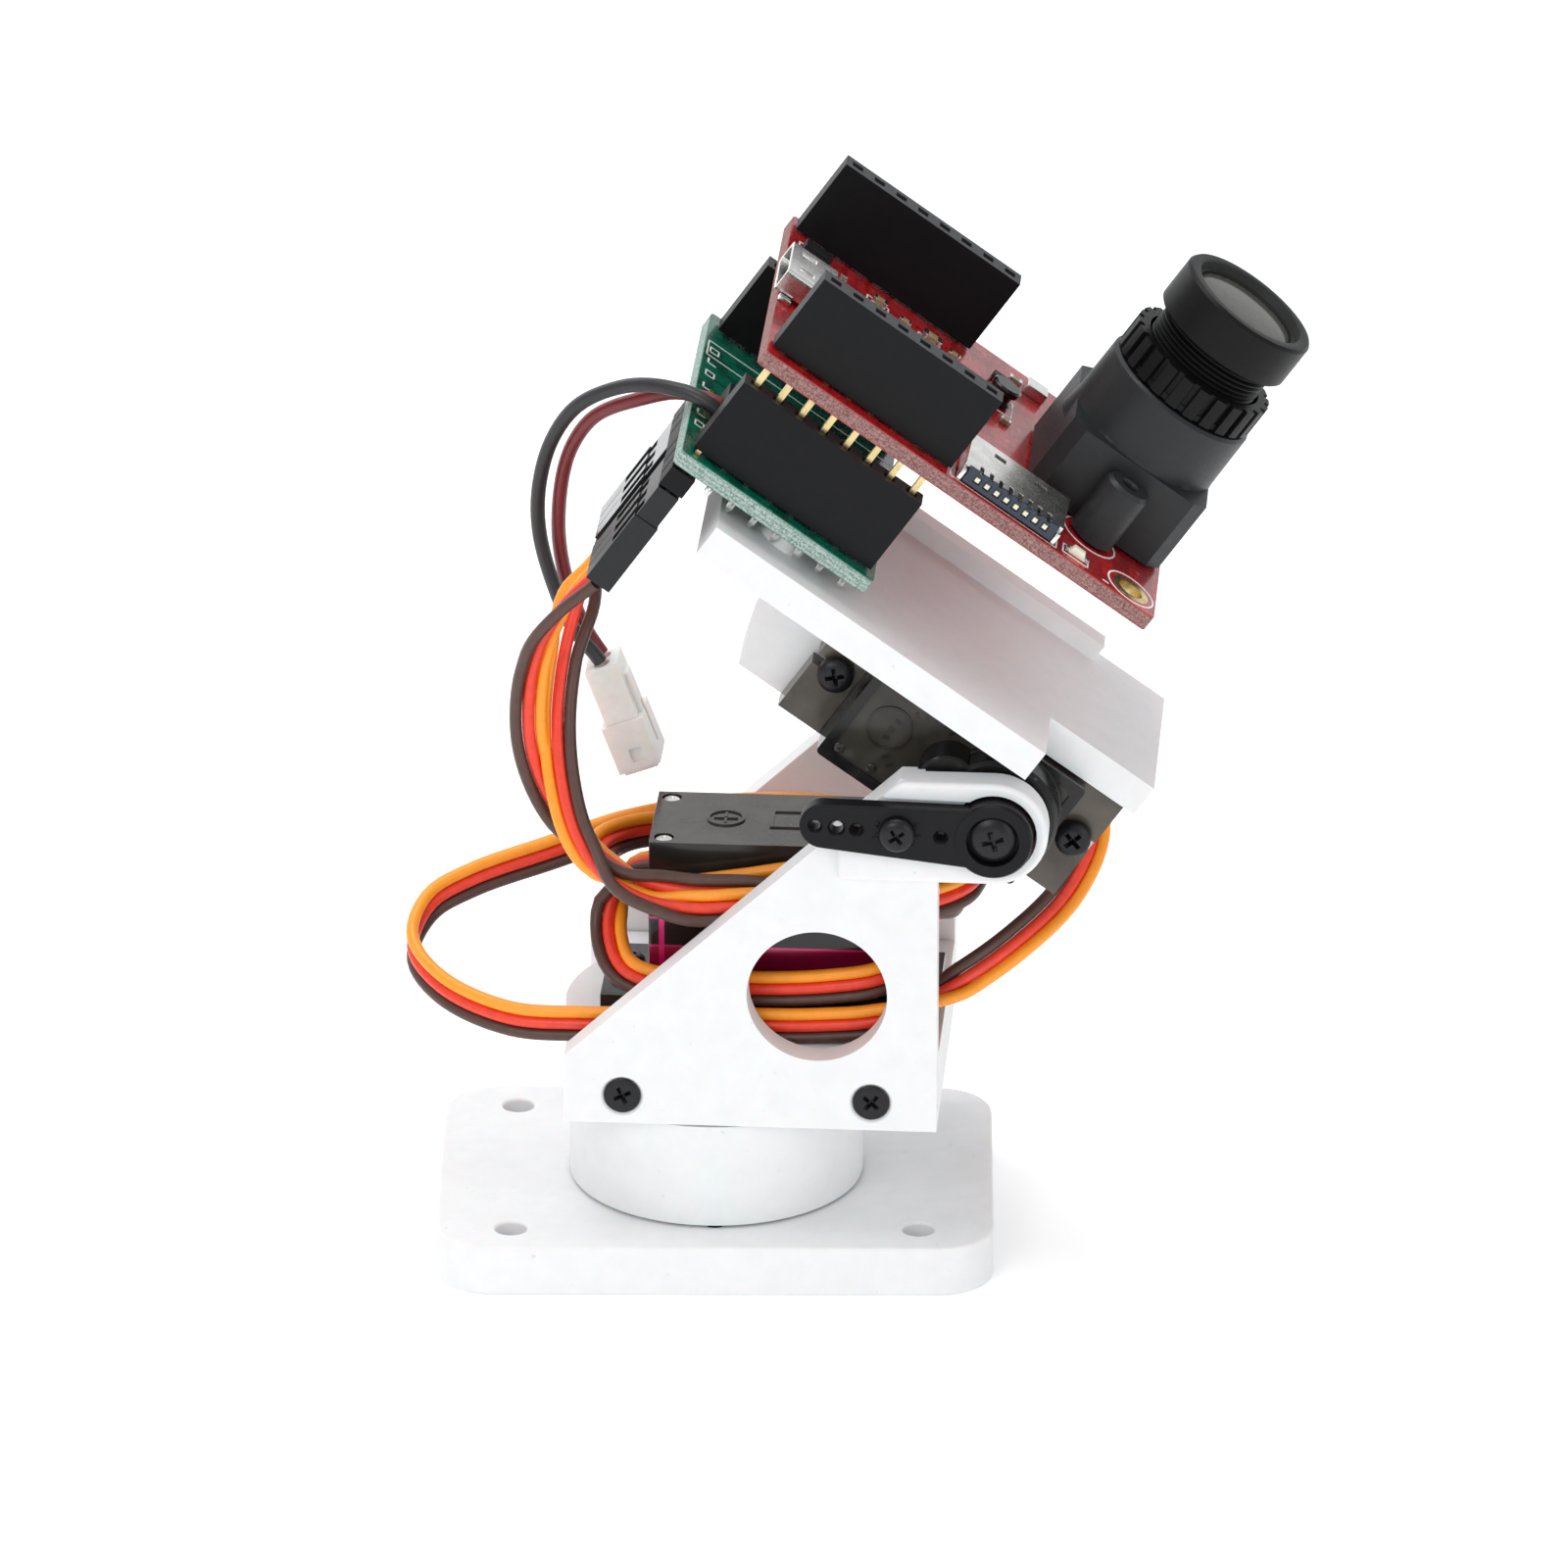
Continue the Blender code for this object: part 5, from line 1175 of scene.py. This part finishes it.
def camera_board():
    low, level = CAMERA_LOW, CAMERA_LOW + BOARD_THICK
    near = BOARD_Y - BOARD_HALF
    holes = [cylinder(-3.5, y, 1.35, low - 1, level + 1, 40) for y in (-10.7, 19.1)]
    board("camera_board_body", -45.0, -0.6, low, ("red_mask", "red_edge"), "camera_board", holes)
    for name, y in zip(("near", "far"), ROWS):
        header(f"camera_header_{name}_body", y, level, f"camera_header_{name}")
    pins("camera_board_pins", ROWS, low - 4.3, level + 0.6)
    solder("camera_board_solder", [(x, y) for y in ROWS for x in PIN_X], low, 1.0)
    plating = [moved(turned([(1.3, -1.62), (2.0, -1.62), (2.0, 0.02), (1.3, 0.02)], 48),
                     shift(-3.5, y, level))
               for y in (-10.7, 19.1)]
    piece("corner_hole_plating", together(*plating), ON_PLATFORM, "gold")
    rings = [(-3.5, -10.7, 2.55), (-3.5, 19.1, 2.55), (-8.6, -5.4, 2.9), (-8.6, 13.8, 2.9)]
    bars = [
        *frame_bars(-24.2, -13.1, -11.9, -5.6), *frame_bars(-43.9, 12.9, -40.3, 16.7),
        *frame_bars(-44.3, 8.4, -40.9, 12.4),
        *frame_bars(-22.4, 9.2, -18.6, 13.2), *frame_bars(-11.3, -12.7, -8.3, -10.6),
        *frame_bars(-35.9, 13.9, -33.3, 15.3),
        *frame_bars(-29.9, 13.1, -27.3, 14.9), *frame_bars(-36.0, -2.8, -28.0, 5.2),
        (-39.6, 8.4, -39.3, 11.4), (-38.9, 8.4, -38.6, 10.4), (-26.4, 9.4, -24.4, 9.6),
        (-26.4, 8.7, -25.0, 8.9), (-21.4, -0.6, -18.4, -0.35), (-21.4, -1.4, -19.2, -1.15),
        (-21.4, -2.2, -18.9, -1.95), (-6.6, -12.9, -5.9, -12.7), (-39.9, -6.4, -37.0, -6.15),
        (-39.9, -7.2, -38.0, -6.95),
    ]
    silk("camera_board_silk", level, rings, bars)
    chips(level)
    card_socket(level)
    usb_socket(level)
    lamp = rounded(box((-10.7, -12.1, level), (-8.8, -11.1, level + 0.3)), 0.06, 1)
    dome = prism(rectangle(-10.35, -12.05, -9.15, -11.15), level + 0.3, level + 0.75, shrink=1.25)
    piece("status_light", together(lamp, dome), ON_PLATFORM, "led", bevel=0.05)
    feet = [rounded(box((x, -12.15, level), (x + 0.35, -11.05, level + 0.42)), 0.06, 1)
            for x in (-11.0, -8.85)]
    piece("status_light_ends", together(*feet), ON_PLATFORM, "tinned")
    below = [(-40 + 3.1 * k, 4 + 5 * math.sin(k * 1.7)) for k in range(11)]
    parts = [rounded(block(x, y, 0.9, 0.55, low - 0.65, low), 0.08, 1) for x, y in below]
    piece("camera_board_lower_parts", together(*parts), ON_PLATFORM, "ceramic")


def shield():
    low, level = SHIELD_LOW, SHIELD_LOW + BOARD_THICK
    plug_x, plug_y = -44.0, [y + PITCH * step for y in (-9.75, 0.0) for step in (-1, 0, 1)]
    holes = [cylinder(plug_x, y, 0.5, low - 1, level + 1, 16) for y in plug_y]
    holes.append(cylinder(-32, -8.5, 1.05, low - 1, level + 1, 24))
    board("shield_board_body", -45.5, -23.6, low, ("green_mask", "green_edge"), "shield_board", holes)
    for name, y in zip(("near", "far"), ROWS):
        header(f"shield_header_{name}_body", y, level, f"shield_header_{name}")
    pins("shield_board_pins", ROWS, low - 1.9, level + 0.6, "tinned")
    solder("shield_board_solder", [(x, y) for y in ROWS for x in PIN_X], low, 1.35)
    carrier = box((-45.3, -13.55, 9.3), (-42.7, 3.8, 11.5))
    gaps = [box((-46, y - 0.12 + PITCH / 2, 9), (-45.0, y + 0.12 + PITCH / 2, 12)) for y in plug_y[:-1]]
    pass_by = box((-44.6, -12.3, 9), (-42.0, -10.4, 11.8))
    piece("plug_carrier", carrier, ON_PLATFORM, "header", ("servo_pin_header",),
          cut=[together(*gaps), pass_by], bevel=0.08)
    posts = [block(plug_x, y, 0.25, 0.25, 4.2, 13.9) for y in plug_y]
    piece("plug_carrier_pins", together(*posts), ON_PLATFORM, "gold")
    bars = []
    for k, y in enumerate((-6.0, -3.2, 0.4, 3.6, 6.8, 9.8, 12.6)):
        bars += [(-44.9, y, -44.7, y + 1.2), (-44.9, y, -43.9, y + 0.18)] if k % 2 else frame_bars(-44.9, y,
                -43.8, y + 1.3)
    bars += [*frame_bars(-41, -6, -30, 4), *frame_bars(-45.2, 11.6, -23.9, 15.2, 0.14)]
    silk("shield_board_silk", level, [(-32, -8.5, 2.6)], bars)
    parts = [rounded(block(x, y, 0.8, 0.5, level, level + 0.7), 0.08, 1)
             for x, y in ((-28, -3), (-31, -2), (-34.5, -1), (-27, 3), (-38, 3), (-33, 6), (-29.5, 8),
                          (-26.5, -6))]
    piece("shield_board_parts", together(*parts), ON_PLATFORM, "ceramic")
    chip = rounded(box((-37.5, -5.2, level + 0.1), (-33.0, -1.6, level + 1.5)), 0.12, 2)
    piece("shield_board_chip", chip, ON_PLATFORM, "chip")
    holder = rounded(box((-43.4, -4.6, level), (-40.2, 1.2, level + 2.9)), 0.25, 2)
    piece("power_lead_solder", holder, ON_PLATFORM, "header")


def servo_plug(name, y, node, finish):
    """A three-way plug: shoulder, rounded edges, and a window over each contact."""
    body = box((-45.3, y - 3.8, -2.5), (-42.7, y + 3.8, 5.4))
    upper = box((-45.15, y - 3.65, 5.0), (-42.85, y + 3.65, 9.0))
    windows, springs = [], []
    for step in (-PITCH, 0, PITCH):
        windows.append(box((-46, y + step - 0.72, 1.6), (-44.8, y + step + 0.72, 6.6)))
        windows.append(box((-44.65, y + step - 0.65, 3.0), (-43.35, y + step + 0.65, 10)))
        windows.append(cylinder(-44.0, y + step, 0.66, -3, -1.2, 20))
        springs.append(rounded(box((-45.0, y + step - 0.42, 1.9), (-44.82, y + step + 0.42, 5.0)), 0.05, 1))
    grooves = [box((-46, y + side * PITCH / 2 - 0.08, -3), (-45.2, y + side * PITCH / 2 + 0.08, 1.2))
               for side in (-1, 1)]
    # On the pan lead's plug, faces turned to -x, up towards the lights, are painted paler: a painted
    # reflection.
    pale = finish == "plug_sheen"
    item = piece(name, body, ON_PLATFORM, ("plug", finish), (node,),
                 choose=lambda centre, normal, index: 1 if pale and normal.x < -0.7 else 0,
                 add=[upper], cut=[*windows, together(*grooves)], bevel=0.14)
    piece(f"{name}_contacts", together(*springs), ON_PLATFORM, "gold")
    return item


def power_plug():
    long, wide, thick = 11.2, 5.4, 4.2
    entry = box((0, -2.25, -1.65), (long, 2.25, 1.65))
    shell = box((long * 0.52, -wide / 2, -thick / 2), (long - 0.4, wide / 2, thick / 2))
    cuts = [box((long * 0.44, -0.35, 1.2), (long * 0.85, 0.35, 3)),
            box((long - 2.6, -3, -0.4), (long - 1.2, -2.3, 0.9))]
    cuts += [cylinder(y, 0, 0.8, -1, 2.2, 24, "YZ") for y in (-1.0, 1.0)]
    cuts.append(box((long - 3.6, -1.8, -1.2), (long + 1, 1.8, 1.1)))
    latch = rounded(box((1.6, -1.1, 1.4), (7.4, 1.1, 2.05)), 0.15, 2)
    return piece("power_plug_body", entry, (POWER, "platform"), "nylon", ("power_plug",),
                 add=[shell, latch], cut=cuts, bevel=0.16, segments=2)


# Lens


def lens_holder():
    housing = prism([
        (-7.6, -6.6), (-6.2, -8.0), (6.2, -8.0), (7.6, -6.6), (7.6, 6.6), (6.2, 8.0), (-6.2, 8.0),
        (-7.6, 6.6),
    ], GAP, 8.0)
    tower = turned([(0, 6), (8.05, 6), (7.75, 8.4), (7.7, 13.9), (7.4, 14.2), (0, 14.2)], 96)
    bosses = []
    for side in (-1, 1):
        bosses.append(moved(turned([(0, GAP), (2.3, GAP), (2.3, 6.2), (2.0, 6.6), (0, 6.6)], 40),
                            shift(0, side * 9.6, 0)))
        bosses.append(prism(rectangle(-2.2, min(side * 7, side * 9.6), 2.2, max(side * 7, side * 9.6)), GAP,
                            6.0))
    hole = [(0, 4), (0.8, 4), (0.8, 6.2), (1.1, 6.8), (0, 6.8)]
    holes = [moved(turned(hole, 24), shift(0, side * 9.6, 0)) for side in (-1, 1)]
    piece("lens_holder_body", housing, (LENS, "platform"), "lens", ("lens_holder",),
          add=[tower, *bosses], cut=[cylinder(0, 0, 6.25, -1, 15, 96), together(*holes)], bevel=0.14)


def lens_ring():
    teeth = 24
    outline = []
    for k in range(teeth):
        start = 360 * k / teeth
        outline += arc(0, 0, 7.5, start, start + 9.0, 3)
        outline += arc(0, 0, 7.0, start + 9.8, start + 14.2, 2)
    ring = prism(outline, 14.5, 17.6)
    lip = turned([(0, 14.5), (7.15, 14.5), (7.15, 15.1), (0, 15.1)], 96)
    piece("lens_lock_ring_body", ring, (LENS, "lens_lock_ring"), "lens_head", ("lens_lock_ring",),
          add=[lip], cut=[cylinder(0, 0, 6.25, 14, 18, 96)], bevel=0.07)


def lens_barrel():
    profile = [(0, 3.0), (5.6, 3.0)]
    level = 3.2
    while level < 20.0:
        profile += [(5.62, level), (5.95, level + 0.2), (5.95, level + 0.3), (5.62, level + 0.5)]
        level += 0.5
    profile += [
        (5.6, 20.2), (6.75, 20.35), (7.0, 20.6), (7.0, 24.65), (6.75, 24.95), (6.1, 25.0), (5.75, 24.9),
        (5.55, 24.2), (5.3, 24.15), (5.25, 23.8), (0, 23.8),
    ]

    def choose(centre, normal, index):
        return 1 if centre.z > 23.7 and math.hypot(centre.x, centre.y) < 5.7 else 0

    piece("lens_barrel_body", turned(profile, 96), (LENS, "lens_barrel"), ("lens_head", "lens_inner"),
          ("lens_barrel",), choose=choose, smooth=28)
    glass = [(0, 23.85), (5.2, 23.85)]
    glass += [(5.2 * math.cos(math.radians(a)), 23.9 + 0.5 * math.sin(math.radians(a)))
              for a in range(0, 90, 9)]
    glass.append((0, 24.4))
    piece("lens_glass", turned(glass, 96), (LENS, "lens_barrel"), "glass", smooth=60)


# The CAD's own pieces that stay


def finish_cad_nodes():
    kinds = (
        ("motor_pinion", "brass"), ("gear_pin", "steel"), ("gear", "gear"), ("_motor", "steel"),
        ("pan_horn_screw", "screw"), ("pan_horn", "horn"),
    )
    for name, item in nodes.items():
        for key, finish in kinds:
            if key in name:
                item.data.materials.clear()
                item.data.materials.append(FINISHES[finish])
                break


def ground():
    """One pale sweep: a floor that turns up far behind."""
    shape = bmesh.new()
    outline = [(-3.0, 0.0), (1.6, 0.0)]
    outline += [(1.6 + 0.6 * math.sin(math.radians(a)), 0.6 - 0.6 * math.cos(math.radians(a)))
                for a in range(10, 91, 10)]
    outline.append((2.2, 3.0))
    rows = [[shape.verts.new((x, y, z)) for x in (-4.0, 4.0)] for y, z in outline]
    for first, second in zip(rows, rows[1:]):
        shape.faces.new((first[0], first[1], second[1], second[0]))
    mesh = bpy.data.meshes.new("floor")
    shape.to_mesh(mesh)
    shape.free()
    mesh.polygons.foreach_set("use_smooth", [True] * len(mesh.polygons))
    mesh.materials.append(
        Finish("floor", (0.95, 0.955, 0.96), 0.7, spread=0.005, grain=0.02, bump=0.02, bump_grain=0.2,
               Emission_Color=(1, 1, 1, 1), Emission_Strength=0.2).material)
    added("floor", mesh)


FINISHES = make_finishes()
camera()
tilt_plug = servo_plug("tilt_lead_plug_body", -9.75, "tilt_lead_plug", "plug")
pan_plug = servo_plug("pan_lead_plug_body", 0.0, "pan_lead_plug", "plug_sheen")
servo_lead("pan_lead", PAN_LEAD_ROUTE, PAN_LEAD_LIES, 0.0)
servo_lead("tilt_lead", TILT_LEAD_ROUTE, TILT_LEAD_LIES, 0.030)
power_lead(power_plug())
studio()
ground()
base()
bracket()
servo("pan_servo", (PAN_SERVO, "bracket"), "smoke")
# The tilt servo's ears are painted paler, as light coming through them.
servo("tilt_servo", (TILT_SERVO, "platform"), "smoke_ear")
tilt_horn()
platform()
camera_board()
shield()
lens_holder()
lens_ring()
lens_barrel()
finish_cad_nodes()
